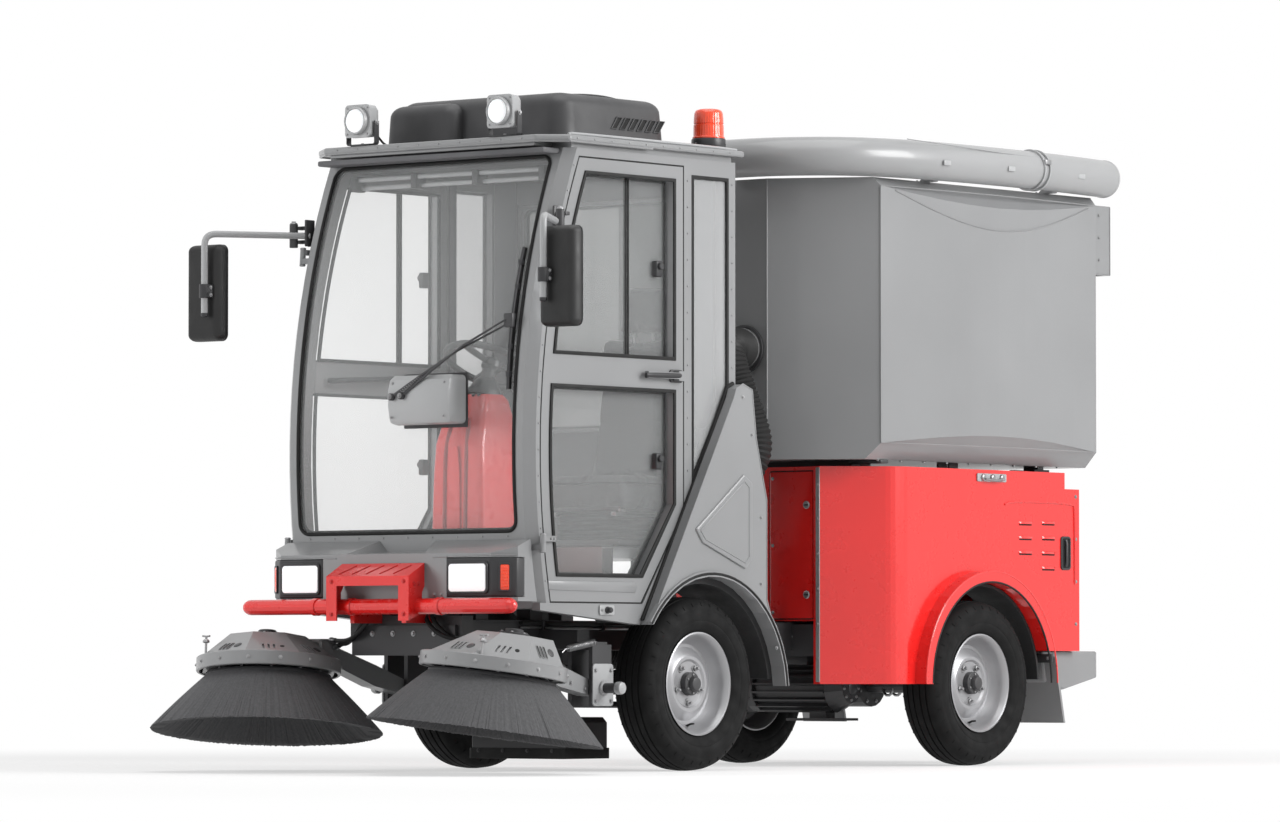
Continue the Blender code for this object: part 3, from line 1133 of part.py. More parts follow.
def brushes():
    pivot_x, pivot_y, pivot_z = ARM_PIVOT
    for side, sign in sides():
        pivot = Vector((sign * pivot_x, pivot_y, pivot_z))
        raise_joint = joint("arm_pivot_" + side, pivot)
        centre = Vector((sign * BRUSH_CENTRE[0], BRUSH_CENTRE[1], BRUSH_CENTRE[2]))
        axis = Vector((sign * BRUSH_AXIS.x, BRUSH_AXIS.y, BRUSH_AXIS.z))
        place = facing(centre, axis)
        spin = joint("brush_spin_" + side, centre, raise_joint)
        top, ring = BRUSH_HEIGHT, BRUSH_TOP_RADIUS
        profile = [(0.0, top + 0.018 - GAP), (0.03, top + 0.018 - GAP), (0.035, top + 0.012),
                   (ring, top + 0.012),
                   (ring, top - 0.008), (ring + 0.012, top - 0.02), (BRUSH_RADIUS,
                                                                     0.0), (BRUSH_RADIUS - 0.05, 0.0),
                   (ring - 0.05, top - 0.02), (0.0, top - 0.02)]
        brush = turned("brush_" + side, profile, place, BRISTLE, 36)
        carry(spin, brush)
        hood, slots = brush_hood(side, sign, centre, axis, top)
        # the arm is a box section that follows its side outline back and down to the pivot
        upper = [(-1.10, 0.485), (-0.93, 0.47), (-0.68, 0.395), (-0.52, 0.342), (-0.455, 0.335)]
        lower = [(-0.445, 0.30), (-0.50, 0.282), (-0.68, 0.315), (-0.93, 0.40), (-1.10, 0.42)]
        low, high = sorted((sign * (pivot_x - 0.035), sign * (pivot_x + 0.035)))
        beam = plate("arm_beam", upper + lower, SIDE_VIEW, low, high, STEEL)
        across = Vector((0.0405, 0, 0))
        eye = cylinder("arm_eye", pivot - across, pivot + across, 0.03, STEEL)
        end = box("arm_head", (low - 0.008, -1.0, 0.385), (high + 0.008, -0.90, 0.492), STEEL, 0.01, 1)
        cut(hood, *slots)
        join(hood, beam, eye, end)
        carry(raise_joint, hood, beam, eye, end, *slots)


chassis()
hopper_stand()
axles()
steering()
wheels()
power()
cab_shell = cab()
glazing()
doors(cab_shell)
cab_outside()
cab_inside()
front_end()
fenders()
side_covers()
hopper()
lift_cylinders()
suction()
brushes()
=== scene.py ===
"""Looks for the compact street sweeper: materials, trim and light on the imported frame."""
import json
import random
from math import atan, cos, pi, radians, sin, sqrt

import bmesh
import bpy
from mathutils import Matrix, Vector


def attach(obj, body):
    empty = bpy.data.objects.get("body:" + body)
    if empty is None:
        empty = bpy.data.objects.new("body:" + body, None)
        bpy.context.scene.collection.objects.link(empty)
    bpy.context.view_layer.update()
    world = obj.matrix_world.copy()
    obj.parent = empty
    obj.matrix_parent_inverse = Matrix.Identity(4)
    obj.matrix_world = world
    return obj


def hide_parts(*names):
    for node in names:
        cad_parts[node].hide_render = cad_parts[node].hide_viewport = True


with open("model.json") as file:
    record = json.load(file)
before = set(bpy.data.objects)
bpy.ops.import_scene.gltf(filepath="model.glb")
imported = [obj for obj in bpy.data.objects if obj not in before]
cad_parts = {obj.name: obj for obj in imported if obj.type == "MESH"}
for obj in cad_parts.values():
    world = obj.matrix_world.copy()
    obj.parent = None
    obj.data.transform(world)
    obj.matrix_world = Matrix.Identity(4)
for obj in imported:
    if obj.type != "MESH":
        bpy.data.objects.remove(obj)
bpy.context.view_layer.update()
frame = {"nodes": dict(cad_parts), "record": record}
NODES = frame["nodes"]
DATUM_Y = -0.5130603777498501  # the front axle's place along the vehicle

# directions seen from the left side of the vehicle
OUT, FRONT, REAR, UP, DOWN = (1, 0, 0), (0, -1, 0), (0, 1, 0), (0, 0, 1), (0, 0, -1)


# ---- camera, floor, light
def camera(width=1280.0, height=822.0, focal=6500.0, horizon=668.0):
    """A camera at the photograph's viewing angle; focal and horizon count in the image's pixels."""
    data = bpy.data.cameras.new("view")
    data.sensor_width = 36.0
    data.lens = 36.0 * focal / width
    data.clip_end = 400.0
    eye = bpy.data.objects.new("view", data)
    bpy.context.scene.collection.objects.link(eye)
    eye.location = (15.693, -18.998 + DATUM_Y, 0.384)
    eye.rotation_euler = (radians(90) + atan((horizon - height / 2) / focal), 0, radians(39.0))
    bpy.context.scene.camera = eye


def node(tree, kind, inputs=None, **values):
    made = tree.nodes.new(kind)
    for key, value in values.items():
        setattr(made, key, value)
    for key, value in (inputs or {}).items():
        made.inputs[key].default_value = value
    return made


def plain_rays(tree):
    """1 for what the camera sees itself, in a mirror or through glass."""
    path = node(tree, "ShaderNodeLightPath")
    total = path.outputs["Is Camera Ray"]
    for kind in ("Is Glossy Ray", "Is Transmission Ray"):
        either = node(tree, "ShaderNodeMath", operation="MAXIMUM")
        tree.links.new(total, either.inputs[0])
        tree.links.new(path.outputs[kind], either.inputs[1])
        total = either.outputs[0]
    return total


def blend(tree, share, first, second, end):
    mix = node(tree, "ShaderNodeMixShader")
    tree.links.new(share, mix.inputs["Fac"])
    tree.links.new(first.outputs[0], mix.inputs[1])
    tree.links.new(second.outputs[0], mix.inputs[2])
    tree.links.new(mix.outputs[0], end.inputs["Surface"])


def lamp(name, place, aim, size, power):
    data = bpy.data.lights.new(name, "AREA")
    data.shape = "RECTANGLE"
    data.size, data.size_y = size
    data.energy = power
    light = bpy.data.objects.new(name, data)
    bpy.context.scene.collection.objects.link(light)
    light.location = place
    light.rotation_euler = (Vector(aim) - Vector(place)).to_track_quat("-Z", "Y").to_euler()
    return light


def studio():
    scene = bpy.context.scene
    scene.view_settings.view_transform = "Standard"
    scene.world = bpy.data.worlds.new("studio")
    scene.world.use_nodes = True
    tree = scene.world.node_tree
    tree.nodes.clear()
    soft, white = (node(tree, "ShaderNodeBackground", {"Color": (1, 1, 1, 1), "Strength": strength})
                   for strength in (0.30, 1.0))
    blend(tree, plain_rays(tree), soft, white, node(tree, "ShaderNodeOutputWorld"))

    # the floor fades to plain white away from the vehicle
    reach = 60.0
    mesh = bpy.data.meshes.new("floor")
    corners = [(-reach, -reach, 0), (reach, -reach, 0), (reach, reach, 0), (-reach, reach, 0)]
    mesh.from_pydata(corners, [], [(0, 1, 2, 3)])
    floor = bpy.data.objects.new("floor", mesh)
    scene.collection.objects.link(floor)
    pale = Look("pale_floor", (0.93, 0.93, 0.93), 0.9, {"Specular IOR Level": 0.1})
    tree = pale.tree
    coords = node(tree, "ShaderNodeTexCoord")
    away = node(tree, "ShaderNodeVectorMath", operation="LENGTH")
    fade = node(tree, "ShaderNodeMapRange", {"From Min": 2.6, "From Max": 7.0, "To Min": 0.55, "To Max": 1.0},
                interpolation_type="SMOOTHSTEP")
    share = node(tree, "ShaderNodeMath", operation="MULTIPLY")
    tree.links.new(coords.outputs["Object"], away.inputs[0])
    tree.links.new(away.outputs["Value"], fade.inputs["Value"])
    tree.links.new(fade.outputs[0], share.inputs[0])
    tree.links.new(plain_rays(tree), share.inputs[1])
    blend(tree, share.outputs[0], pale.shader, node(tree, "ShaderNodeEmission"),
          tree.nodes["Material Output"])
    floor.data.materials.append(pale.made)

    lamp("key", (9.0, 2.5, 5.0), (0, 0.3, 1.0), (5.0, 5.0), 900)
    lamp("top", (1.0, -1.0, 8.0), (0, 0, 1), (6.0, 7.0), 260)
    front = lamp("front", (-6.0, -9.0, 3.0), (0, -1, 1.0), (4.0, 4.0), 560)
    front.visible_glossy = False


# ---- materials
class Look:
    """A principled material, varied by textures that lie on the object's own coordinates."""

    def __init__(self, name, colour, roughness, inputs=None):
        self.made = bpy.data.materials.new(name)
        self.made.use_nodes = True
        self.tree = self.made.node_tree
        self.shader = self.tree.nodes["Principled BSDF"]
        self.colour = colour
        for key, value in {"Base Color": (*colour, 1), "Roughness": roughness, **(inputs or {})}.items():
            self.shader.inputs[key].default_value = value

    def texture(self, kind, output, inputs, stretch=None, **values):
        source = node(self.tree, "ShaderNodeTexCoord").outputs["Object"]
        if stretch:
            mapping = node(self.tree, "ShaderNodeMapping", {"Scale": stretch})
            self.tree.links.new(source, mapping.inputs["Vector"])
            source = mapping.outputs["Vector"]
        made = node(self.tree, kind, inputs, **values)
        self.tree.links.new(source, made.inputs["Vector"])
        return made.outputs[output]

    def noise(self, scale, detail=3.0, rough=0.5, stretch=None):
        inputs = {"Scale": scale, "Detail": detail, "Roughness": rough}
        return self.texture("ShaderNodeTexNoise", "Fac", inputs, stretch)

    def cells(self, scale):
        return self.texture("ShaderNodeTexVoronoi", "Distance", {"Scale": scale})

    def vary(self, socket, source, low, high, stops):
        made = node(self.tree, "ShaderNodeValToRGB")
        for element, stop, colour in zip(made.color_ramp.elements, stops, (low, high)):
            element.position, element.color = stop, (*colour, 1)
        self.tree.links.new(source, made.inputs["Fac"])
        self.tree.links.new(made.outputs["Color"], self.shader.inputs[socket])

    def tint(self, source, low, high, stops=(0.3, 0.7)):
        """Spreads the colour between two factors of itself."""
        tones = [tuple(min(1.0, c * factor) for c in self.colour) for factor in (low, high)]
        self.vary("Base Color", source, *tones, stops)

    def wear(self, source, low, high, stops=(0.3, 0.7)):
        """Spreads the roughness between two values."""
        self.vary("Roughness", source, (low,) * 3, (high,) * 3, stops)

    def bump(self, source, distance, strength):
        made = node(self.tree, "ShaderNodeBump", {"Distance": distance, "Strength": strength})
        self.tree.links.new(source, made.inputs["Height"])
        self.tree.links.new(made.outputs["Normal"], self.shader.inputs["Normal"])


def paint(name, colour, roughness=0.35, coat=0.3, metallic=0.0):
    """Sprayed paint: fine orange peel, slight tone drift and dust in the roughness."""
    look = Look(name, colour, roughness, {"Metallic": metallic, "Coat Weight": coat, "Coat Roughness": 0.08})
    look.tint(look.noise(1.6, 2.0), 0.94, 1.05)
    look.wear(look.noise(9.0, 5.0, 0.6), roughness - 0.02, roughness + 0.04, (0.35, 0.75))
    look.bump(look.noise(60.0, 2.0), 0.0001, 0.03)
    return look.made


def moulded(name, colour, roughness=0.5, grain=420.0, depth=0.0002):
    """Grained plastic: a fine leather-like grain and a little tone drift."""
    look = Look(name, colour, roughness)
    look.tint(look.noise(3.0), 0.85, 1.2)
    look.bump(look.cells(grain), depth, 0.5)
    look.wear(look.noise(14.0, 4.0), roughness - 0.08, roughness + 0.08)
    return look.made


def rubber(name, colour, roughness=0.8):
    look = Look(name, colour, roughness, {"Specular IOR Level": 0.22})
    look.tint(look.noise(5.0, 5.0, 0.65), 0.8, 1.5, (0.3, 0.75))
    look.bump(look.noise(180.0), 0.0006, 0.4)
    look.wear(look.noise(20.0, 4.0), roughness - 0.12, roughness + 0.1)
    return look.made


def bare_metal(name, colour, roughness=0.3):
    look = Look(name, colour, roughness, {"Metallic": 1.0})
    scratches = look.noise(40.0, 4.0, 0.6, (1.0, 1.0, 12.0))
    look.wear(scratches, roughness - 0.08, roughness + 0.15)
    look.tint(look.noise(6.0), 0.85, 1.1)
    look.bump(scratches, 0.0002, 0.2)
    return look.made


def clear(name, colour, roughness=0.02, alpha=0.13):
    """Thin flat glass: mostly see-through, with a faint tint and gloss."""
    look = Look(name, colour, roughness, {"Alpha": alpha})
    look.wear(look.noise(2.5, 4.0, 0.6), 0.015, 0.06, (0.3, 0.75))
    return look.made


def cloth(name, colour):
    look = Look(name, colour, 0.85, {"Sheen Weight": 0.3})
    weave = look.texture("ShaderNodeTexWave", "Fac", {"Scale": 220.0}, wave_type="BANDS",
                         bands_direction="DIAGONAL")
    look.bump(weave, 0.0008, 0.5)
    look.tint(look.noise(30.0, 4.0), 0.8, 1.3)
    return look.made


def bristles(name, colour):
    look = Look(name, colour, 0.75)
    strands = look.noise(14.0, 4.0, 0.7, (9.0, 9.0, 1.0))
    look.tint(strands, 0.75, 1.25)
    look.bump(strands, 0.002, 0.4)
    return look.made


def coloured_lens(name, colour, glow=0.0):
    """Moulded lamp lens: glossy, faintly lit from within, with fine prisms inside."""
    look = Look(name, colour, 0.16, {
        "Coat Weight": 0.6, "Coat Roughness": 0.05, "Emission Color": (*colour, 1), "Emission Strength": glow,
        "Subsurface Weight": 0.12, "Subsurface Radius": (0.006, 0.004, 0.003)})
    look.bump(look.cells(420.0), 0.0003, 0.15)
    look.tint(look.noise(40.0, 2.0), 0.95, 1.05)
    look.wear(look.noise(18.0), 0.10, 0.22)
    return look.made


LOOKS = {}
for finish, rows in (
        (paint, (("grey", "grey_paint", (0.235, 0.238, 0.242), 0.38, 0.25),
                 ("light_grey", "light_grey", (0.36, 0.365, 0.37), 0.4, 0.2),
                 ("red", "red_paint", (0.70, 0.012, 0.010), 0.28, 0.6),
                 ("red_dark", "red_shadow", (0.36, 0.008, 0.008), 0.35, 0.4),
                 ("red_bolt", "red_bolt", (0.55, 0.010, 0.010), 0.35, 0.4),
                 ("steel", "dark_steel", (0.035, 0.035, 0.037), 0.5, 0.1),
                 ("silver", "silver", (0.34, 0.34, 0.35), 0.38, 0.25, 0.6),
                 ("duct", "duct", (0.30, 0.303, 0.307), 0.36, 0.3))),
        (moulded, (("plastic", "black_plastic", (0.022, 0.022, 0.024), 0.42),
                   ("mirror_case", "mirror_case", (0.006, 0.006, 0.0062), 0.5),
                   # a black sheet laid in slots, recesses and holes: painted shade
                   ("void", "dark_inside", (0.004, 0.004, 0.004), 0.8),
                   ("ac_cover", "ac_cover", (0.038, 0.038, 0.040), 0.52),
                   ("arch_liner", "arch_liner", (0.016, 0.016, 0.017), 0.7, 160.0, 0.0012),
                   ("headliner", "headliner", (0.10, 0.10, 0.105), 0.7))),
        (rubber, (("rubber", "tyre", (0.0055, 0.0055, 0.0056)), ("hose", "hose", (0.016, 0.016, 0.016), 0.6),
                  ("seal", "seal", (0.014, 0.014, 0.014), 0.6),
                  ("floor_mat", "floor_mat", (0.05, 0.05, 0.052)))),
        (bare_metal, (("bolt", "bolt", (0.34, 0.34, 0.345), 0.38),
                      ("chrome", "rod", (0.75, 0.75, 0.76), 0.16),
                      ("mirror_glass", "mirror_glass", (0.72, 0.74, 0.75), 0.10))),
        (clear, (("glass", "glass", (0.75, 0.77, 0.77)), ("lens", "lens", (0.9, 0.9, 0.9)),
                 ("rear_glass", "rear_glass", (0.10, 0.105, 0.105), 0.06, 0.62),
                 ("side_glass", "side_glass", (0.62, 0.63, 0.635), 0.05, 0.36))),
        (coloured_lens, (("amber", "amber", (0.93, 0.065, 0.012)),
                         ("tail_red", "tail_lamp", (0.60, 0.008, 0.010)),
                         ("lens_white", "lamp_front", (0.88, 0.89, 0.90), 0.22))),
        (bristles, (("bristle", "bristle", (0.068, 0.068, 0.071)),)),
        (cloth, (("cloth", "seat", (0.05, 0.05, 0.053)),))):
    for key, label, *values in rows:
        LOOKS[key] = finish(label + "_look", *values)

SLOT_LOOKS = {
    "grey_paint": "grey", "red_paint": "red", "dark_steel": "steel", "silver_wheel": "silver",
    "rubber": "rubber", "hose_rubber": "hose", "black_plastic": "plastic", "clear_glass": "glass",
    "lamp_lens": "lens", "amber_lens": "amber", "bristle": "bristle", "seat_cover": "cloth",
    "cylinder_rod": "chrome",
}
NODE_LOOKS = {"rear_window": "rear_glass", "quarter_glass_left": "side_glass",
              "quarter_glass_right": "side_glass"}


# ---- shapes
def at(x, y, z):
    """A station of the vehicle, from the ground under the front axle, in the frame's metres."""
    return Vector((x, y + DATUM_Y, z))


def move(x, y, z):
    return Matrix.Translation(at(x, y, z))


def turn(degrees, axis):
    return Matrix.Rotation(radians(degrees), 4, axis)


def side_view(x):
    return Matrix(((0, 0, 1, x), (1, 0, 0, DATUM_Y), (0, 1, 0, 0), (0, 0, 0, 1)))


def front_view(y):
    return Matrix(((1, 0, 0, 0), (0, 0, 1, y + DATUM_Y), (0, 1, 0, 0), (0, 0, 0, 1)))


def plan_view(z):
    return Matrix(((1, 0, 0, 0), (0, 1, 0, DATUM_Y), (0, 0, 1, z), (0, 0, 0, 1)))


def facing(place, axis):
    return Matrix.Translation(place) @ Vector(axis).to_track_quat("Z", "Y").to_matrix().to_4x4()


def frame_of(place, across, up):
    """A plane whose first axis runs across and whose second is nearest to up."""
    across = Vector(across).normalized()
    out = across.cross(Vector(up)).normalized()
    up = out.cross(across)
    return Matrix.Translation(place) @ Matrix((across, up, out)).transposed().to_4x4()


def circle(count, radius, offset=0.0):
    """Places round a circle, from an offset counted in steps."""
    angles = [2 * pi * (index + offset) / count for index in range(count)]
    return [(radius * cos(angle), radius * sin(angle)) for angle in angles]


def arc(centre, radius, start, stop, step):
    """Places on an arc round a centre, in whole degrees."""
    return [(centre[0] + radius * cos(radians(a)), centre[1] + radius * sin(radians(a)))
            for a in range(start, stop, step)]


def soften(shape, width, segments=2, angle=30):
    if width > 0:
        edges = [e for e in shape.edges if len(e.link_faces) == 2 and e.calc_face_angle(0) > radians(angle)]
        bmesh.ops.bevel(shape, geom=edges, offset=width, segments=segments, profile=0.5, affect="EDGES",
                        clamp_overlap=True)
    return shape


def block(low, high, bevel=0.003, segments=2):
    low, high = Vector(low), Vector(high)
    shape = bmesh.new()
    size = Matrix.Diagonal((*[abs(v) for v in high - low], 1))
    bmesh.ops.create_cube(shape, size=1.0, matrix=Matrix.Translation((low + high) / 2) @ size)
    return soften(shape, bevel, segments)


def skin(shape, low, high):
    """Faces between two rings of as many points each; a ring of one point is a tip."""
    count = max(len(low), len(high))
    for index in range(count if len(low) + len(high) > 2 else 0):
        after = (index + 1) % count
        if len(low) == 1:
            shape.faces.new((low[0], high[after], high[index]))
        elif len(high) == 1:
            shape.faces.new((low[index], low[after], high[0]))
        else:
            shape.faces.new((low[index], low[after], high[after], high[index]))


def loft(rings, closed=False):
    """Rings skinned in order and capped, or joined end to end."""
    shape = bmesh.new()
    rows = [[shape.verts.new(point) for point in ring] for ring in rings]
    for low, high in zip(rows, rows[1:] + rows[:1] if closed else rows[1:]):
        skin(shape, low, high)
    if not closed:
        shape.faces.new(rows[0][::-1])
        shape.faces.new(rows[-1])
    return shape


def slab(outline, depth, bevel=0.0, segments=2, hole=None):
    """A flat outline in x and y, drawn up to the depth, with a hole of as many points."""
    if hole:
        edges = ((outline, 0), (outline, depth), (hole, depth), (hole, 0))
        rings = [[(x, y, z) for x, y in edge] for edge, z in edges]
        shape = loft(rings, closed=True)
    else:
        # the caps come first, which settles how they are cut into triangles
        shape = bmesh.new()
        foot, head = ([shape.verts.new((x, y, z)) for x, y in outline] for z in (0, depth))
        shape.faces.new(foot)
        shape.faces.new(head[::-1])
        for index in range(len(outline)):
            after = (index + 1) % len(outline)
            shape.faces.new((foot[index], head[index], head[after], foot[after]))
    bmesh.ops.recalc_face_normals(shape, faces=shape.faces)
    return soften(shape, bevel, segments, 40 if hole else 30)


def lathe(profile, steps=48, closed=False, swell=None):
    """A profile of radius and height turned about z; swell changes a radius by angle and height."""
    shape = bmesh.new()
    rows = []
    for radius, height in profile:
        row = []
        for index in range(steps if radius > 0 else 0):
            angle = 2 * pi * index / steps
            reach = radius + (swell(angle, height) if swell else 0.0)
            row.append(shape.verts.new((reach * cos(angle), reach * sin(angle), height)))
        rows.append(row or [shape.verts.new((0, 0, height))])
    for low, high in zip(rows, rows[1:] + rows[:1] if closed else rows[1:]):
        skin(shape, low, high)
    return shape


def stud(height, flat, radius, shoulder, foot=0.0):
    """The profile of a disc or short pin with a chamfered top."""
    return [(0, height), (flat, height), (radius, shoulder), (radius, foot), (0, foot)]


def smooth_path(points, rounds=3):
    """Corner cutting that keeps both ends."""
    points = [Vector(p) for p in points]
    for _ in range(rounds):
        cut = [points[0]]
        for a, b in zip(points, points[1:]):
            cut += [a.lerp(b, 0.25), a.lerp(b, 0.75)]
        points = cut + [points[-1]]
    return points


def pipe(points, radius, sides=12, closed=False, squash=1.0):
    """A round bar along points; radius may be a list with one value a point."""
    points = [Vector(p) for p in points]
    count = len(points)
    radii = radius if isinstance(radius, list) else [radius] * count
    if closed:
        heading = [(points[(i + 1) % count] - points[i - 1]).normalized() for i in range(count)]
    else:
        heading = [(points[min(i + 1, count - 1)] - points[max(i - 1, 0)]).normalized() for i in range(count)]
    across = heading[0].orthogonal().normalized()
    rings = []
    for point, ahead, reach in zip(points, heading, radii):
        across = (across - ahead * across.dot(ahead)).normalized()
        up = ahead.cross(across)
        rings.append([point + (across * x + up * y * squash) * reach for x, y in circle(sides, 1.0)])
    return loft(rings, closed)


def coil(begin, end, turns, radius, per_turn):
    """The centre line of a coil spring."""
    ahead = (end - begin).normalized()
    across = ahead.orthogonal().normalized()
    up = ahead.cross(across)
    count = turns * per_turn
    made = []
    for step in range(count + 1):
        angle = 2 * pi * turns * step / count
        made.append(begin.lerp(end, step / count) + (across * cos(angle) + up * sin(angle)) * radius)
    return made


def rounded(x_low, x_high, y_low, y_high, radius, steps=5):
    """A rectangle's outline with round corners."""
    corners = ((x_high - radius, y_high - radius, 0), (x_low + radius, y_high - radius, 90),
               (x_low + radius, y_low + radius, 180), (x_high - radius, y_low + radius, 270))
    outline = []
    for x, y, start in corners:
        for step in range(steps + 1):
            angle = radians(start + 90 * step / steps)
            outline.append((x + radius * cos(angle), y + radius * sin(angle)))
    return outline


def shrunk(outline, inset):
    """An outline moved in by the inset along its corners' bisectors."""
    points = [Vector(p) for p in outline]
    area = sum(a.x * b.y - b.x * a.y for a, b in zip(points, points[1:] + points[:1]))
    hand = 1 if area > 0 else -1
    made = []
    for index, point in enumerate(points):
        before = (point - points[index - 1]).normalized()
        after = (points[(index + 1) % len(points)] - point).normalized()
        flat = Vector((-before.y, before.x)) * hand
        normal = Vector((-before.y - after.y, before.x + after.x)) * hand
        if normal.length < 1e-6:
            normal = flat.copy()
        normal.normalize()
        made.append(tuple(point + normal * inset / max(0.35, normal.dot(flat))))
    return made


def domed(outline, height, crown, rings):
    """Rings that close an outline with a dome, from its edge in."""
    middle = sum((Vector(p) for p in outline), Vector((0, 0))) / len(outline)
    made = []
    for step in range(rings):
        share = 1 - step / rings
        made.append([(middle.x + (x - middle.x) * share, middle.y + (y - middle.y) * share,
                      height + crown * (1 - share**2)) for x, y in outline])
    return made


def pillow(outline, depth, crown, rings=6, edge=0.0):
    """A slab whose top is domed by the crown, with a rounded shoulder of the edge's size."""
    rows = [[(x, y, 0) for x, y in outline]]
    for step in range(4):
        angle = radians(90 * step / 4)
        ring = shrunk(outline, edge * (1 - cos(angle)))
        rows.append([(x, y, depth - edge + edge * sin(angle)) for x, y in ring])
    return loft(rows + domed(shrunk(outline, edge), depth, crown, rings))


class Kit:
    """One piece, gathered from shapes that each have a finish of their own.

    Stations are (x, y, z) on the left side; hand turns them to the left (1) or the right (-1).
    """

    def __init__(self, name, body="chassis", hand=1):
        self.name, self.body, self.hand, self.mesh, self.looks = name, body, hand, bmesh.new(), []

    def spot(self, place):
        x, y, z = place
        return at(self.hand * x, y, z)

    def way(self, axis):
        return Vector((self.hand * axis[0] if axis[0] else 0.0, axis[1], axis[2]))

    def flip(self, outline):
        return [(self.hand * x, y) for x, y in outline]

    def add(self, shape, look, place=None):
        if place is not None:
            shape.transform(place)
        if look not in self.looks:
            self.looks.append(look)
        bmesh.ops.recalc_face_normals(shape, faces=shape.faces)
        for face in shape.faces:
            face.material_index = self.looks.index(look)
        holder = bpy.data.meshes.new("holder")
        shape.to_mesh(holder)
        shape.free()
        self.mesh.from_mesh(holder)
        bpy.data.meshes.remove(holder)

    def box(self, low, high, bevel, look, segments=2):
        self.add(block(self.spot(low), self.spot(high), bevel, segments), look)

    def boxes(self, middles, size, bevel, look, segments=2):
        """Boxes of one half size round each of their middles."""
        for x, y, z in middles:
            dx, dy, dz = size
            self.box((x - dx, y - dy, z - dz), (x + dx, y + dy, z + dz), bevel, look, segments)

    def plate(self, outline, near, far, bevel, look, segments=2, hole=None):
        """An outline in side view, between two distances from the middle of the vehicle."""
        low, high = sorted((self.hand * near, self.hand * far))
        self.add(slab(outline, high - low, bevel, segments, hole), look, side_view(low))

    def panel(self, outline, y, depth, bevel, look, segments=2, hole=None):
        """An outline in front view, from a station back by the depth."""
        self.add(slab(outline, depth, bevel, segments, hole), look, front_view(y))

    def rod(self, stations, radius, look, sides=10, rounds=0, **shape):
        self.add(pipe(smooth_path([self.spot(s) for s in stations], rounds), radius, sides, **shape), look)

    def turned(self, profile, steps, look, place, axis, **shape):
        self.add(lathe(profile, steps, **shape), look, facing(self.spot(place), self.way(axis)))

    def bolt(self, place, axis, radius=0.006, look="bolt", washer=True):
        """A chamfered hexagon head on a washer, at a place in the frame."""
        seat = facing(place, axis)
        if washer:
            foot = stud(0.25 * radius, 1.45 * radius, 1.55 * radius, 0.12 * radius, -0.1 * radius)
            self.add(lathe(foot, 20), look, seat)
        self.add(lathe(stud(radius, 0.8 * radius, radius, 0.85 * radius, 0.1 * radius), 6), look, seat)

    def bolts(self, stations, axis, radius, look="bolt", washer=True):
        for station in stations:
            self.bolt(self.spot(station), self.way(axis), radius, look, washer)

    def ring_of_bolts(self, place, spread, count, height, radius, washer=True, offset=0.0):
        """Bolts on a circle of the place's own plane."""
        for x, y in circle(count, spread, offset):
            self.bolt(place @ Vector((x, y, height)), place.to_3x3() @ Vector(UP), radius, "bolt", washer)

    def done(self, *stands_for, angle=32):
        mesh = bpy.data.meshes.new(self.name)
        self.mesh.to_mesh(mesh)
        self.mesh.free()
        for look in self.looks:
            mesh.materials.append(LOOKS[look])
        mesh.shade_smooth()
        mesh.set_sharp_from_angle(angle=radians(angle))
        piece = bpy.data.objects.new(self.name, mesh)
        bpy.context.scene.collection.objects.link(piece)
        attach(piece, self.body)
        if stands_for:
            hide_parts(*stands_for)


SIDES = (("left", 1), ("right", -1))


def front_y(z, inset=0.0):
    """The cab front's station at a height, less an inset towards the inside."""
    return 1.7715 - sqrt((2.765 - inset) ** 2 - (z - 1.18) ** 2)


def front_edge(low, high, inset, steps):
    heights = [low + (high - low) * i / steps for i in range(steps + 1)]
    return [(front_y(z, inset), z) for z in heights]


# ---- wheels
AXLE_Z = 0.325
REAR_AXLE_Y = 1.724
FRONT_HALF_TRACK, REAR_HALF_TRACK = 0.516, 0.56
TYRE_HALF = [
    (0.181, 0.050), (0.1865, 0.0615), (0.194, 0.0668), (0.2005, 0.0715), (0.2065, 0.0785), (0.2125, 0.0818),
    (0.222, 0.0875), (0.2325, 0.0912), (0.2355, 0.0902), (0.2385, 0.0922), (0.255, 0.0932), (0.272, 0.0928),
    (0.2755, 0.0908), (0.279, 0.0918), (0.292, 0.0875), (0.303, 0.0805), (0.3115, 0.072), (0.3168, 0.063),
    (0.3200, 0.054), (0.3213, 0.047), (0.3165, 0.0455), (0.3165, 0.0405), (0.3222, 0.039), (0.3240, 0.0195),
    (0.3190, 0.018), (0.3190, 0.0135), (0.3246, 0.012)]
RIM_FLANGE = [(0.1705, -0.052), (0.176, -0.062), (0.183, -0.0725), (0.188, -0.0762), (0.1935, -0.0745),
              (0.1915, -0.068), (0.1785, -0.0615), (0.1735, -0.050), (0.1665, -0.030)]
RIM_DISC = [(0.168, 0.040), (0.162, 0.030), (0.157, 0.016), (0.150, 0.006), (0.138, 0.006), (0.128, 0.012),
            (0.115, 0.024), (0.104, 0.030), (0.092, 0.030), (0.084, 0.023), (0.062, 0.020), (0.050, 0.022),
            (0.044, 0.022), (0.044, 0.012), (0.084, 0.013), (0.106, 0.020), (0.128, 0.002), (0.150, -0.006)]


def both_faces(profile):
    return profile + [(radius, -height) for radius, height in reversed(profile)]


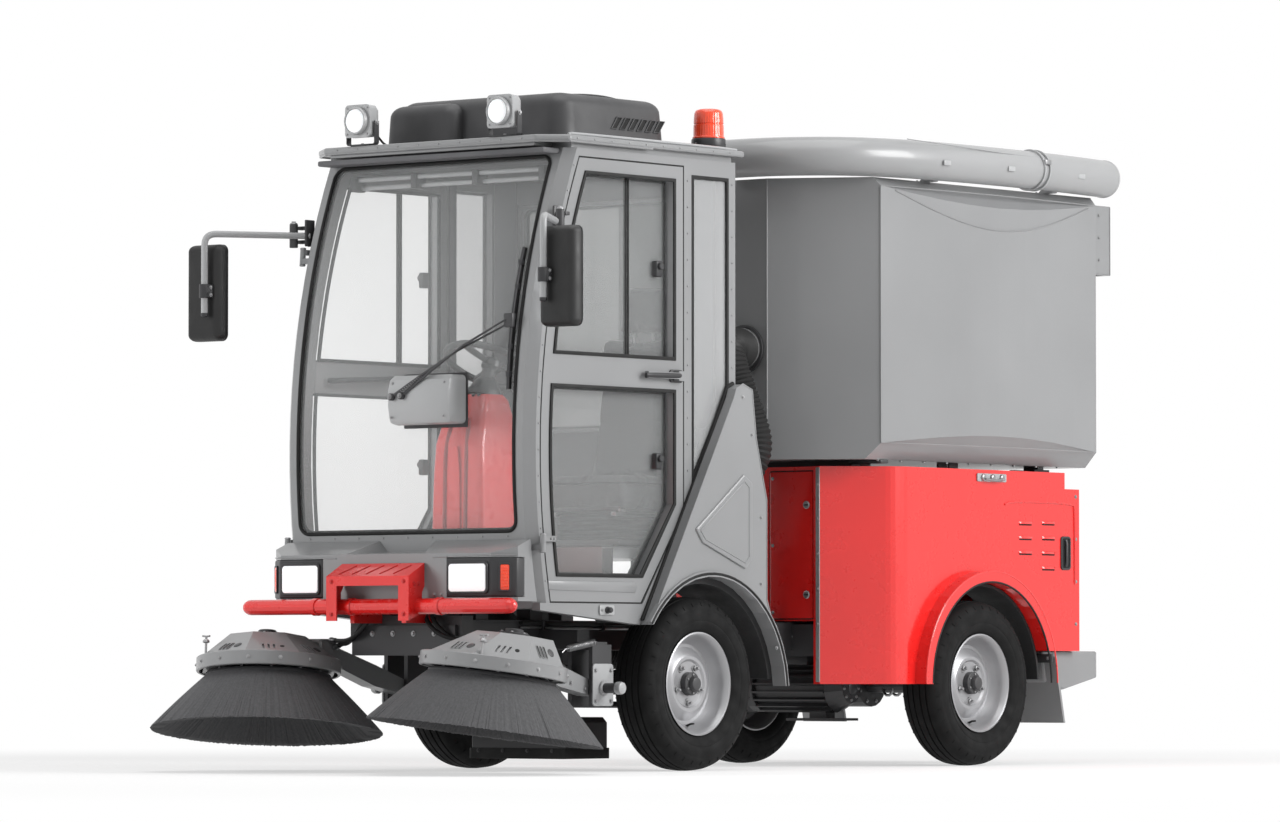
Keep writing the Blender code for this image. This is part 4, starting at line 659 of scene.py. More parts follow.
def wheel(end, side, hand, x, y):
    name = end + "_" + side
    place = move(hand * x, y, AXLE_Z) @ turn(90 * hand, "Y")
    tyre = Kit("tyre_detail_" + name, "wheel_" + name)
    tyre.add(lathe(both_faces(TYRE_HALF), 144, closed=True), "rubber", place)
    for height, lean in ((0.0885, 36), (-0.0885, -36)):
        for index, (dx, dy) in enumerate(circle(36, 0.297)):
            rib = block((-0.0085, -0.0016, -0.002), (0.0085, 0.0016, 0.002), 0.0007, 1)
            tilt = turn(10 * index, "Z") @ turn(lean, "Y")
            tyre.add(rib, "rubber", place @ Matrix.Translation((dx, dy, height * 0.955)) @ tilt)
    tyre.done("tyre_" + name, angle=50)

    rim = Kit("rim_detail_" + name, "wheel_" + name)
    profile = [(0.160, 0.012), (0.168, -0.036)] + both_faces(RIM_FLANGE) + RIM_DISC
    rim.add(lathe(profile, 96, closed=True), "silver", place)
    hub = [(0, 0.0685), (0.018, 0.0685), (0.024, 0.0665), (0.0275, 0.060), (0.0285, 0.049), (0.040, 0.047),
           (0.0435, 0.044), (0.0437, 0.018), (0.0437, -0.045), (0, -0.045)]
    rim.add(lathe(hub), "steel", place)
    rim.ring_of_bolts(place, 0.0345, 6, 0.0475, 0.0042, washer=False)
    rim.ring_of_bolts(place, 0.072, 5, 0.0205, 0.0115)
    for dx, dy in circle(5, 0.072):
        tip = [(0, 0.023), (0.0045, 0.0225), (0.0058, 0.0205), (0.0058, 0.0), (0, 0.0)]
        rim.add(lathe(tip, 16), "bolt", facing(place @ Vector((dx, dy, 0.0205)), place.to_3x3() @ Vector(UP)))
    drum = [(0, -0.012), (0.118, -0.012), (0.124, -0.018), (0.124, -0.055), (0.118, -0.060), (0, -0.060)]
    rim.add(lathe(drum), "steel", place)
    valve = [place @ Vector(p) for p in ((0.158, 0, 0.014), (0.150, 0, 0.035), (0.149, 0, 0.052))]
    rim.add(pipe(valve, [0.0045, 0.004, 0.003]), "hose")
    rim.done("rim_" + name, angle=28)


# ---- brushes
PITCH, ROLL = radians(6.9), radians(4.0)
BRUSH_X, BRUSH_Y, BRUSH_Z = 0.529, -1.160, 0.147


def brush_place(hand):
    axis = Vector((hand * sin(ROLL), cos(ROLL) * sin(PITCH), cos(ROLL) * cos(PITCH)))
    lean = Vector(UP).rotation_difference(axis).to_matrix().to_4x4()
    return move(hand * BRUSH_X, BRUSH_Y, BRUSH_Z) @ lean


def bristle_skirt(count, top, foot, rows, deep, seed):
    """Strands side by side from the ring down to ragged tips, over a smooth inner cone."""
    chance = random.Random(seed)
    shape = bmesh.new()
    lines = []
    for index in range(count):
        angle = 2 * pi * index / count
        tuft = 0.0005 * sin(angle * 60) + chance.uniform(-0.0006, 0.0006)
        drop = chance.uniform(0.0, 0.004)
        drift = chance.uniform(-0.5, 0.5) * 2 * pi / count
        line = []
        for row in range(rows + 1):
            share = row / rows
            radius = top[0] + (foot[0] - top[0]) * share + 0.004 * sin(pi * share) + tuft * (0.3 + share)
            height = top[1] + (foot[1] - top[1]) * share + drop * share
            line.append((radius, angle + drift * share, height))
        line += [(foot[0] - deep, angle, foot[1] + drop + 0.004), (top[0] - 0.06, angle, top[1] - 0.02)]
        lines.append([shape.verts.new((r * cos(a), r * sin(a), z)) for r, a, z in line])
    for line, other in zip(lines, lines[1:] + lines[:1]):
        skin(shape, line, other)
    return shape


def brushes():
    for side, hand in SIDES:
        place = brush_place(hand)
        brush = Kit("brush_detail_" + side, "brush_" + side)
        brush.add(bristle_skirt(720, (0.231, 0.206), (0.430, 0.001), 9, 0.05, 11 + hand), "bristle", place)
        ring = [(0, 0.2165), (0.226, 0.2165), (0.2315, 0.2145), (0.2335, 0.210), (0.2335, 0.199),
                (0.229, 0.195), (0.16, 0.190), (0, 0.190)]
        brush.add(lathe(ring, 72), "plastic", place)
        brush.ring_of_bolts(place, 0.214, 12, 0.2165, 0.0055, offset=0.5)
        brush.done("brush_" + side, angle=40)


# ---- lamps, mirrors, wiper, roof
ROOF_TOP = 2.3302
WORK_LIGHT_X = 0.3475


def headlights():
    for side, hand in SIDES:
        lamp = Kit("headlight_detail_" + side, hand=hand)
        case = [(0.3003, -1.0603), (0.3003, -1.1085), (0.512, -1.1085), (0.589, -1.0505), (0.589, -1.0085),
                (0.5195, -1.0603)]
        lamp.add(slab(lamp.flip(case), 0.1444, 0.007, 3), "plastic", plan_view(0.6403))
        inner = rounded(0.3175, 0.4945, 0.6605, 0.7615, 0.013)
        lamp.panel(lamp.flip(rounded(0.309, 0.503, 0.652, 0.770, 0.016)), -1.1175, 0.010, 0.003, "plastic",
                   hole=lamp.flip(inner))
        glass = [(hand * x, -z) for x, z in rounded(0.3175, 0.4945, -0.7615, -0.6605, 0.013)]
        lamp.add(pillow(glass, 0.006, 0.0035, 8, 0.003), "lens_white", move(0, -1.1105, 0) @ turn(90, "X"))
        # the indicator lies on the slanted corner
        plane = frame_of(lamp.spot((0.5545, -1.0785, 0.7115)), (0.7915, hand * 0.611, 0), UP)
        lens = rounded(-0.0165, 0.0165, -0.046, 0.046, 0.006)
        lamp.add(pillow(lens, 0.004, 0.003, 5, 0.002), "amber", plane)
        lamp.add(slab(rounded(-0.0225, 0.0225, -0.052, 0.052, 0.009), 0.005, 0.0015, hole=lens), "plastic",
                 plane)
        for index in range(7):
            z = 0.0115 * (index - 3)
            lamp.add(block((-0.0145, z - 0.0012, 0.003), (0.0145, z + 0.0012, 0.0078), 0.001, 1), "amber",
                     plane)
        lamp.done("headlight_" + side)


def work_lights():
    for side, hand in SIDES:
        lamp = Kit("work_light_detail_" + side)
        x, y, z = hand * WORK_LIGHT_X, -0.835, 2.33 + 0.0925
        face = move(x, y, z) @ turn(90, "X")
        corners = rounded(-0.0615, 0.0615, -0.0615, 0.0615, 0.016)
        depths = ((-0.046, 0.55), (-0.032, 0.80), (-0.012, 0.965), (0.022, 0.985), (0.026, 1.0), (0.030, 1.0))
        lamp.add(loft([[(px * k, py * k, d) for px, py in corners] for d, k in depths]), "light_grey", face)
        ring = [(0.0525, 0.028), (0.0525, 0.044), (0.0505, 0.0485), (0.047, 0.0495), (0.0455, 0.047),
                (0.0455, 0.034), (0.02, 0.022), (0, 0.020), (0, 0.016), (0.0525, 0.018)]
        lamp.add(lathe(ring), "light_grey", face)
        lens = [(0.0452, 0.040), (0.044, 0.0455), (0.036, 0.050), (0.024, 0.0535), (0.012, 0.055),
                (0, 0.0555), (0, 0.040)]
        lamp.add(lathe(lens), "lens_white", face)
        for index in range(5):
            d, half = -0.008 - 0.008 * index, 0.056 - 0.0045 * index
            lamp.add(block((-half, -half, d - 0.0012), (half, half, d + 0.0012), 0.001, 1), "light_grey",
                     face)
        for cx in (-0.049, 0.049):
            for cy in (-0.049, 0.049):
                lamp.bolt(face @ Vector((cx, cy, 0.030)), FRONT, 0.0035, washer=False)
        yoke = [(-0.071, 0.0), (-0.071, -0.082), (-0.064, -0.089), (0.064, -0.089), (0.071, -0.082),
                (0.071, 0.0),
                (0.067, 0.0), (0.067, -0.080), (0.063, -0.085), (-0.063, -0.085), (-0.067, -0.080),
                (-0.067, 0.0)]
        lamp.add(slab(yoke, 0.026, 0.001, 1), "steel", face @ Matrix.Translation((0, 0, -0.013)))
        for out in (-1, 1):
            lamp.bolt(face @ Vector((out * 0.071, -0.006, 0)), (out, 0, 0), 0.006)
        lamp.bolt(at(x, y, 2.3352), UP, 0.006)
        lamp.done("work_light_" + side)


def beacon():
    lamp = Kit("beacon_detail")
    x, y, foot_z = 0.48, 0.20, 2.3303
    place = move(x, y, foot_z)
    foot = [(0, 0.052), (0.0595, 0.052), (0.0640, 0.049), (0.0655, 0.044), (0.0655, 0.016), (0.0640, 0.012),
            (0.0640, 0.0), (0, 0.0)]
    lamp.add(lathe(foot, 64), "plastic", place)

    def ribs(angle, height):
        return -0.0010 * (0.5 + 0.5 * cos(36 * angle)) if 0.058 < height < 0.150 else 0.0

    dome = [(0, 0.052), (0.0585, 0.052), (0.0585, 0.0565), (0.0582, 0.060), (0.0578, 0.080), (0.0572, 0.1015),
            (0.0552, 0.1035), (0.0552, 0.1065), (0.0570, 0.1085), (0.0560, 0.128), (0.0545, 0.1445),
            (0.0515, 0.1535), (0.0465, 0.1590), (0.036, 0.1625), (0.018, 0.1642), (0, 0.1645)]
    lamp.add(lathe(dome, 144, swell=ribs), "amber", place)
    ring = [(0.0600, 0.050), (0.0615, 0.052), (0.0615, 0.0565), (0.0600, 0.058), (0.0580, 0.058),
            (0.0580, 0.050)]
    lamp.add(lathe(ring, 64, closed=True), "amber", place)
    for index in range(3):
        angle = 2 * pi * index / 3 + 0.4
        out = Vector((cos(angle), sin(angle), 0))
        lamp.bolt(at(x, y, foot_z + 0.030) + out * 0.0655, out, 0.0035, washer=False)
    lamp.done("beacon")


def mirrors():
    for side, hand in SIDES:
        kit = Kit("mirror_detail_" + side, hand=hand)
        # the stem: out and forward from its bracket, then down in front of the head
        arm_z, stem_x, stem_y, clamp_z = 2.005, 0.824, -1.186, 1.79
        kit.rod([(0.606, -0.842, arm_z), (0.66, -0.925, arm_z), (0.785, -1.120, arm_z),
                 (0.812, -1.166, arm_z)]
                + [(stem_x, stem_y, z) for z in (arm_z - 0.022, arm_z - 0.07, 1.86, 1.72, 1.700)],
                0.0125, "light_grey", 20, 3)
        kit.box((0.6003, -0.867, arm_z - 0.04), (0.610, -0.818, arm_z + 0.06), 0.003, "steel")
        for lift in (-0.022, 0.030):
            kit.box((0.608, -0.857, arm_z + lift - 0.007), (0.655, -0.832, arm_z + lift + 0.007), 0.002,
                    "steel")
        barrel = [(0, 0.045), (0.014, 0.045), (0.016, 0.043), (0.016, -0.043), (0.014, -0.045), (0, -0.045)]
        kit.add(lathe(barrel, 28), "steel", Matrix.Translation(kit.spot((0.650, -0.882, arm_z))))
        kit.bolts([(0.650, -0.882, arm_z + 0.046)], UP, 0.009)
        kit.bolts([(0.610, -0.842, arm_z + lift) for lift in (-0.032, 0.048)], OUT, 0.006)
        collar = [(0, 0.026), (0.0185, 0.026), (0.020, 0.024), (0.020, -0.024), (0.0185, -0.026), (0, -0.026)]
        kit.add(lathe(collar, 28), "plastic", Matrix.Translation(kit.spot((stem_x, stem_y, clamp_z))))
        centre, half = kit.spot((stem_x, -1.170, clamp_z)), Vector((0.024, 0.020, 0.025))
        kit.add(block(centre - half, centre + half, 0.005), "plastic")
        for lift in (-0.014, 0.014):
            kit.bolt(centre + Vector((0.024, -0.006, lift)), OUT, 0.005)
        tip = [(0, 0.006), (0.009, 0.005), (0.0135, 0.001), (0.0135, -0.010), (0, -0.010)]
        kit.add(lathe(tip, 24), "plastic", move(hand * stem_x, stem_y, 1.698) @ turn(180, "X"))
        outline = rounded(-0.0845, 0.0845, -0.181, 0.181, 0.026, 7)
        rows = [[(x, z, depth) for x, z in shrunk(outline, inset)] for inset, depth in (
            (0.006, -0.006), (0.002, -0.004), (0.0, 0.0), (0.0, 0.012), (0.002, 0.024), (0.007, 0.035),
            (0.014, 0.0425), (0.022, 0.0465))]
        for share in (0.85, 0.6, 0.3):
            rows.append([(x * share, z * share, 0.0465 + 0.0035 * (1 - share)) for x, z, _ in rows[7]])
        kit.add(loft(rows), "mirror_case", move(hand * 0.86, -1.116, 1.7865) @ turn(90, "X"))
        back = move(hand * 0.86, -1.1105, 1.7865) @ turn(-90, "X")
        kit.add(pillow(shrunk(outline, 0.010), 0.002, 0.0015, 4, 0.001), "mirror_glass", back)
        kit.add(slab(outline, 0.004, 0.0015, hole=shrunk(outline, 0.0105)), "plastic", back)
        kit.done("mirror_" + side, angle=40)


def wiper():
    kit = Kit("wiper_detail")
    right, left = 0.000, 0.296
    rows = []
    for x, inset in ((right, 0.014), (right + 0.004, 0.005), (right + 0.014, 0.0), (left - 0.014, 0.0),
                     (left - 0.004, 0.005), (left, 0.014)):
        rows.append([at(x, y, z) for y, z in (
            (-1.045 + inset, 1.272 + inset), (-1.075, 1.277 + inset), (-1.0875 + inset, 1.291 + inset),
            (-1.0955 + inset, 1.345), (-1.0945 + inset, 1.400), (-1.084 + inset, 1.436),
            (-1.064 + inset, 1.453 - inset), (front_y(1.447) - 0.001, 1.453 - inset),
            (front_y(1.40) - 0.001, 1.40),
            (front_y(1.34) - 0.001, 1.34), (front_y(1.28) - 0.001, 1.275 + inset))])
    kit.add(loft(rows), "light_grey")
    backing = front_y(1.36)
    kit.box((right - 0.004, backing - 0.006, 1.262), (left + 0.004, backing + 0.004, 1.462), 0.003, "plastic")
    for y, z in ((-1.0935, 1.300), (-1.0875, 1.425)):
        kit.bolts([(0.023, y, z), (0.273, y, z)], (0, -1, 0.12), 0.0045, washer=False)
    # two parallel arms lift the blade clear of the housing and across the glass
    for x0, z0, x1, z1 in ((0.030, 1.375, 0.478, 1.628), (0.078, 1.378, 0.4948, 1.658)):
        root, tip = at(x0, -1.1005, z0), at(x1, front_y(z1) - 0.030, z1)
        kit.turned(stud(0.016, 0.010, 0.0135, 0.013, -0.012), 28, "steel", (x0, -1.096, z0), FRONT)
        kit.bolts([(x0, -1.113, z0)], FRONT, 0.0065)
        lift = Vector((0, -0.020, 0.002))
        middle = root.lerp(tip, 0.30) + lift
        kit.add(pipe([root, middle], [0.0085, 0.0075], 8, squash=0.6), "steel")
        kit.add(pipe([middle - (tip - root) * 0.02, root.lerp(tip, 0.62) + lift * 1.6, tip],
                     [0.0070, 0.0056, 0.0046], 8, squash=0.7), "steel")
    spring = coil(at(0.085, -1.112, 1.392), at(0.235, front_y(1.53) - 0.090, 1.498), 20, 0.0052, 11)
    kit.add(pipe(spring, 0.0011, 6), "bolt")
    x, edge = 0.502, []
    for step in range(13):
        z = 1.395 + 0.52 * step / 12
        edge.append((front_y(z) - 0.010 - 0.007 * sin(pi * step / 12), z))
    kit.rod([(x, y - 0.006, z) for y, z in edge], 0.0055, "plastic", 8, squash=0.8)
    kit.add(loft([[at(x - 0.0022, y - 0.001, z), at(x + 0.0022, y - 0.001, z),
                   at(x + 0.0008, front_y(z) + 0.0035, z),
                   at(x - 0.0008, front_y(z) + 0.0035, z)] for y, z in edge]), "hose")
    kit.boxes([(x, front_y(z) - 0.0165, z) for z in (1.45, 1.55, 1.66, 1.77, 1.86)], (0.008, 0.0085, 0.010),
              0.002, "plastic", 1)
    joint = front_y(1.645)
    kit.box((x - 0.030, joint - 0.036, 1.620), (x + 0.012, joint - 0.018, 1.672), 0.004, "steel")
    kit.done("wiper")


def air_unit():
    kit = Kit("roof_ac_detail")
    base_z = 2.3305

    def tub(x_low, x_high, y_low, y_high, height, corner, shoulder, draft, crown):
        outline = rounded(x_low, x_high, y_low + DATUM_Y, y_high + DATUM_Y, corner, 8)
        wall = base_z + height - shoulder
        rows = [[(x, y, base_z) for x, y in outline]]
        for step in range(7):
            angle = radians(90 * step / 7)
            ring = shrunk(outline, draft + shoulder * 1.1 * (1 - cos(angle)))
            rows.append([(x, y, wall + (shoulder - crown) * sin(angle)) for x, y in ring])
        return loft(rows + domed(shrunk(outline, draft + shoulder * 1.1), base_z + height - crown, crown, 6))

    kit.add(tub(-0.423, 0.424, -0.598, 0.048, 0.196, 0.085, 0.062, 0.012, 0.012), "ac_cover")
    kit.add(tub(-0.405, -0.06, -0.662, -0.30, 0.172, 0.06, 0.055, 0.008, 0.008), "ac_cover")
    lip = rounded(-0.427, 0.427, -0.602 + DATUM_Y, 0.052 + DATUM_Y, 0.088, 8)
    kit.add(slab(lip, 0.010, 0.003, hole=shrunk(lip, 0.012)), "ac_cover", Matrix.Translation((0, 0, base_z)))
    for step in range(4):
        x = -0.27 + 0.18 * step
        kit.rod([(x, -0.46, base_z + 0.178), (x, -0.30, base_z + 0.1935), (x, -0.15, base_z + 0.1945),
                 (x, -0.05, base_z + 0.1795)], 0.009, "ac_cover", rounds=2, squash=0.5)
    slot = [(-0.028, -0.020), (-0.004, -0.020), (0.028, 0.020), (0.004, 0.020)]
    for kit.hand in (1, -1):
        for index in range(6):
            spot = kit.spot((0.4155, -0.275 + 0.05 * index, base_z + 0.083))
            plane = frame_of(spot, (0, kit.hand, 0.0), UP)
            # a black sheet in each slot: painted shade
            kit.add(slab(slot, 0.004, 0.001, 1), "void", plane)
            kit.add(slab(shrunk(slot, -0.004), 0.0075, 0.0015, hole=slot), "ac_cover", plane)
        kit.bolts([(0.422, -0.5, base_z + 0.022), (0.422, -0.05, base_z + 0.022)], OUT, 0.006)
    kit.done("roof_ac", angle=40)


# ---- cab
CAB_SIDE = 0.6003  # outer face of the pillars, where bolt heads sit
DOOR_FOOT, DOOR_KINK = 0.626, 0.972  # heights of the door's foot and of the kink in its rear edge
DOOR_REAR, DOOR_TOE = -0.105, -0.356  # stations of the rear edge above the kink and at the foot
LOW_HINGE, HIGH_HINGE = HINGE_HEIGHTS = (0.836, 1.925)
HINGE_STATION, HINGE_RAKE = -0.945, 0.083
MIRROR_BRACKET_HEIGHT = 2.005


def door_outline(grow):
    """The door's edge as station and height; grow opens it up for the seal round it."""
    rear, top = DOOR_REAR + grow, 2.250 + grow
    slant = (rear - DOOR_TOE - grow) / (DOOR_KINK - DOOR_FOOT)
    front = front_edge(DOOR_FOOT - grow, top, 0.062 - grow, 24)
    return front + [(rear, top), (rear, DOOR_KINK - grow * 0.5), (DOOR_TOE + grow * slant, DOOR_FOOT - grow)]


def window_outline(low, high, grow):
    front = front_edge(low - grow, high + grow, 0.112 - grow, 16)
    rear, kink = -0.155 + grow, 0.992
    slope = (DOOR_REAR - DOOR_TOE) / (DOOR_KINK - DOOR_FOOT)
    if low > kink:
        return front + [(rear, high + grow), (rear, low - grow)]
    foot = (rear - (kink - low) * slope + grow * 0.35, low - grow)
    return front + [(rear, high + grow), (rear, kink - grow * 0.4), foot]


def dense(points, step=0.02):
    """Points added along straight runs, so that a closed bar keeps its corners tight."""
    made = []
    points = [Vector(p) for p in points]
    for a, b in zip(points, points[1:] + points[:1]):
        count = max(1, int((b - a).length / step))
        made += [a.lerp(b, i / count) for i in range(count)]
    return made


def cab_side(kit):
    kit.add(pipe(dense([kit.spot((0.5985, y, z)) for y, z in door_outline(0.003)]), 0.0034, 8, closed=True),
            "seal")
    quarter = [(-0.05, 1.083), (-0.05, 2.22), (0.165, 2.22), (0.165, 1.4208)]
    kit.plate(shrunk(quarter, -0.004), 0.594, 0.6025, 0.002, "seal", hole=shrunk(quarter, 0.010))
    # rows of small bolts up the front pillar, clear of hinges and bracket, and along the rear post
    for step in range(17):
        z = 0.70 + 1.52 * step / 16
        clear_of_hinges = min(abs(z - hinge) for hinge in HINGE_HEIGHTS) > 0.05
        if clear_of_hinges and abs(z - MIRROR_BRACKET_HEIGHT) > 0.07:
            kit.bolts([(CAB_SIDE, front_y(z) + 0.048, z)], OUT, 0.0032, washer=False)
    for step in range(13):
        z = 1.02 + 1.18 * step / 12
        kit.bolts([(CAB_SIDE, y, z) for y in ((-0.078, 0.190) if z > 1.44 else (-0.078,))], OUT, 0.0032,
                  washer=False)
    # rubber strip between the cab's sill and the fender
    strip = [(-0.352, 0.560), (-0.20, 0.813), (0.0, 1.150), (0.136, 1.400), (0.155, 1.436), (0.19, 1.452)]
    kit.rod([(0.6035, y, z) for y, z in strip], 0.0085, "seal")
    # catch plate and bumper on the sill below the door
    kit.plate(rounded(-0.600, -0.515, 0.578, 0.614, 0.006, 3), 0.600, 0.606, 0.0015, "light_grey")
    kit.bolts([(0.6065, y, 0.596) for y in (-0.587, -0.528)], OUT, 0.0042)
    knob = [(0, 0.022), (0.008, 0.0215), (0.0105, 0.018), (0.0105, 0.006), (0.013, 0.004), (0.013, 0), (0, 0)]
    kit.turned(knob, 24, "plastic", (0.6065, -0.558, 0.596), OUT)
    cap = [(0, 0.006), (0.008, 0.0055), (0.0115, 0.003), (0.0118, 0.0), (0, 0)]
    for z in HINGE_HEIGHTS:
        y = HINGE_STATION + (z - LOW_HINGE) / (HIGH_HINGE - LOW_HINGE) * HINGE_RAKE
        kit.add(lathe(cap, 24), "bolt", Matrix.Translation(kit.spot((0.622, y + 0.002, z + 0.030))))
        kit.add(lathe(cap, 24), "bolt",
                Matrix.Translation(kit.spot((0.622, y - 0.002, z - 0.030))) @ turn(180, "X"))
        kit.bolts([(0.6185, y, z + dz) for dz in (-0.022, -0.011)], OUT, 0.0035, washer=False)


def cab_trim():
    kit = Kit("cab_trim")
    for _, kit.hand in SIDES:
        cab_side(kit)
    # gasket round the front screen, laid on the curve of the cab's face
    loop = dense(rounded(-0.525, 0.525, 0.880, 2.255, 0.04, 6), 0.04)
    kit.add(pipe([at(x, front_y(z) - 0.001, z) for x, z in loop], 0.0065, 10, closed=True), "seal")
    kit.add(pipe([at(x * 0.985, front_y(z) + 0.012, z + (1.5675 - z) * 0.012) for x, z in loop], 0.006, 8,
                 closed=True), "seal")
    kit.hand = 1
    for z in (0.862, 2.268):
        kit.bolts([(-0.48 + 0.12 * step, front_y(z) - 0.0003, z) for step in range(9)], FRONT, 0.003,
                  washer=False)
    rear = rounded(-0.42, 0.42, 1.30, 2.15, 0.03, 6)
    kit.panel(shrunk(rear, -0.008), 0.205, 0.008, 0.003, "seal", hole=shrunk(rear, 0.010))
    # header: two long bars behind the top of the screen, with clips
    for z, deep in ((2.212, 0.055), (2.182, 0.075)):
        y = front_y(2.21) + deep
        kit.rod([(-0.46, y, z), (-0.30, y - 0.008, z), (0.30, y - 0.008, z), (0.46, y, z)], 0.0085,
                "light_grey", 12, 2)
    kit.boxes([(x, front_y(2.2) + 0.065, 2.197) for x in (-0.46, -0.16, 0.14, 0.46)], (0.014, 0.030, 0.029),
              0.004, "plastic")
    kit.done()


def door_trim():
    for side, hand in SIDES:
        door = Kit("door_trim_" + side, "door_" + side, hand)
        for low, high in ((1.530, 2.200), (0.72, 1.414)):
            door.plate(window_outline(low, high, 0.004), 0.5985, 0.6055, 0.0018, "seal",
                       hole=window_outline(low, high, -0.009))
            door.plate(window_outline(low, high, -0.001), 0.5465, 0.5565, 0.002, "seal",
                       hole=window_outline(low, high, -0.013))
        # sliding pane: two uprights, and a catch on each window
        for y in (-0.395, -0.381):
            door.box((0.5505, y - 0.0045, 1.533), (0.5625, y + 0.0045, 2.197), 0.002, "seal")
        for z in (1.865, 1.150):
            door.box((0.5600, -0.243, z - 0.030), (0.5850, -0.207, z + 0.030), 0.005, "plastic", 3)
            door.turned(stud(0.012, 0.011, 0.013, 0.009), 24, "plastic", (0.585, -0.225, z + 0.010), OUT)
        # handle: rose, lever with a rounded grip and a lock barrel
        z = 1.468
        door.plate(rounded(-0.189, -0.113, z - 0.024, z + 0.024, 0.012, 5), 0.600, 0.607, 0.002, "plastic")
        door.rod([(0.6065, -0.145, z), (0.622, -0.150, z), (0.6305, -0.172, z), (0.6310, -0.26, z - 0.001),
                  (0.6285, -0.335, z - 0.003), (0.6225, -0.352, z - 0.004)], 0.0105, "plastic", 16, 3,
                 squash=0.8)
        door.turned(stud(0.004, 0.007, 0.0085, 0.0025), 24, "bolt", (0.607, -0.125, z), OUT)
        # pressed field under the lower window
        field = [(-0.895, 0.662), (-0.897, 0.706), (-0.392, 0.706), (-0.372, 0.680), (-0.388, 0.655)]
        door.plate(shrunk(field, 0.006), 0.6000, 0.6035, 0.0012, "grey")
        for z in HINGE_HEIGHTS:
            y = front_y(z, 0.062)
            door.bolts([(0.6165, y + dy, z + 0.0165) for dy in (0.018, 0.036)], OUT, 0.0045, washer=False)
        # inner grab bar
        door.rod([(0.545, -0.80, 1.46), (0.505, -0.79, 1.46), (0.495, -0.72, 1.465), (0.495, -0.52, 1.475),
                  (0.505, -0.45, 1.48), (0.545, -0.44, 1.48)], 0.011, "plastic", 14, 3)
        door.done()


def roof_trim():
    kit = Kit("roof_trim")
    rim_y = -0.863  # the pan's front edge
    # gutter rails along both edges, and bolts that hold the pan to the header
    for _, kit.hand in SIDES:
        kit.rod([(0.592, -0.765, 2.332), (0.598, -0.74, 2.3365), (0.598, 0.10, 2.3365), (0.598, 0.22, 2.333)],
                0.0055, "light_grey", rounds=2)
        kit.bolts([(0.572, -0.74 + 0.102 * step, ROOF_TOP) for step in range(10)], UP, 0.004)
        kit.bolts([(0.6152, -0.74 + 0.10 * step, 2.318) for step in range(10)], OUT, 0.003, washer=False)
    kit.hand = 1
    kit.bolts([(-0.45 + 0.10 * step, 0.225, ROOF_TOP) for step in range(10)], UP, 0.004)
    kit.bolts([(-0.45 + 0.10 * step, rim_y - 0.0002, 2.318) for step in range(10)], FRONT, 0.003,
              washer=False)
    drip = [(0.611, -0.30), (0.611, rim_y + 0.085), (0.512, rim_y + 0.005)]
    kit.rod([(-x, y, 2.3055) for x, y in drip] + [(x, y, 2.3055) for x, y in drip[::-1]], 0.0045, "grey", 8)
    kit.box((-0.50, rim_y + 0.015, 2.290), (0.50, front_y(2.28) + 0.02, 2.3055), 0.003, "grey")
    # lamp leads with their clips, and the lamps' foot plates
    lead = [(WORK_LIGHT_X, -0.785, 2.40), (0.345, -0.750, 2.37), (0.335, -0.72, 2.338), (0.30, -0.70, 2.336)]
    run = [(-0.10, -0.705, 2.336), (0.20, -0.705, 2.336)]
    kit.rod([(-x, y, z) for x, y, z in lead] + run + lead[::-1], 0.0042, "hose", 8, 3)
    kit.rod([(0.44, 0.16, 2.345), (0.42, 0.13, 2.336), (0.40, 0.10, 2.336), (0.395, 0.06, 2.336)], 0.0042,
            "hose", 8, 3)
    kit.boxes([(x, -0.705, 2.336) for x in (-0.2, 0.0, 0.2)], (0.008, 0.009, 0.006), 0.002, "plastic")
    for x, y, wide, deep, corner in ((0.48, 0.19, 0.065, 0.055, 0.02),
                                     (-WORK_LIGHT_X, -0.83, 0.045, 0.03, 0.012),
                                     (WORK_LIGHT_X, -0.83, 0.045, 0.03, 0.012)):
        foot = rounded(x - wide, x + wide, y - deep, y + deep, corner)
        kit.add(slab(foot, 0.004, 0.0015), "steel", plan_view(2.3298))
    kit.done()


def lining():
    """Dark trim inside the cab: headliner, floor mat, post covers and the shelf behind the seat."""
    kit = Kit("cab_lining")
    kit.box((-0.552, -0.86, 2.262), (0.552, 0.162, 2.2825), 0.006, "headliner")
    kit.box((-0.555, -0.885, 0.6425), (0.555, -0.475, 0.652), 0.003, "floor_mat")
    for step in range(22):
        x = -0.53 + 0.05 * step
        kit.box((x - 0.004, -0.865, 0.650), (x + 0.004, -0.490, 0.6545), 0.001, "floor_mat", 1)
    kit.box((-0.555, -0.468, 0.655), (0.555, -0.462, 0.826), 0.002, "floor_mat")
    kit.box((-0.555, -0.462, 0.8325), (0.555, 0.165, 0.840), 0.003, "floor_mat")
    # rear wall: below, on both sides of and above its window
    for x_low, x_high, z_low, z_high in ((-0.555, 0.555, 0.842, 1.285), (-0.54, -0.43, 1.29, 2.255),
                                         (0.43, 0.54, 1.29, 2.255), (-0.425, 0.425, 2.165, 2.255)):
        kit.box((x_low, 0.1505, z_low), (x_high, 0.1685, z_high), 0.004, "headliner")
    post = [(-0.098, 0.86), (-0.058, 0.86), (-0.058, 2.24), (-0.098, 2.24)]
    for _, kit.hand in SIDES:
        kit.plate(post, 0.5505, 0.5590, 0.002, "headliner")
    kit.done()


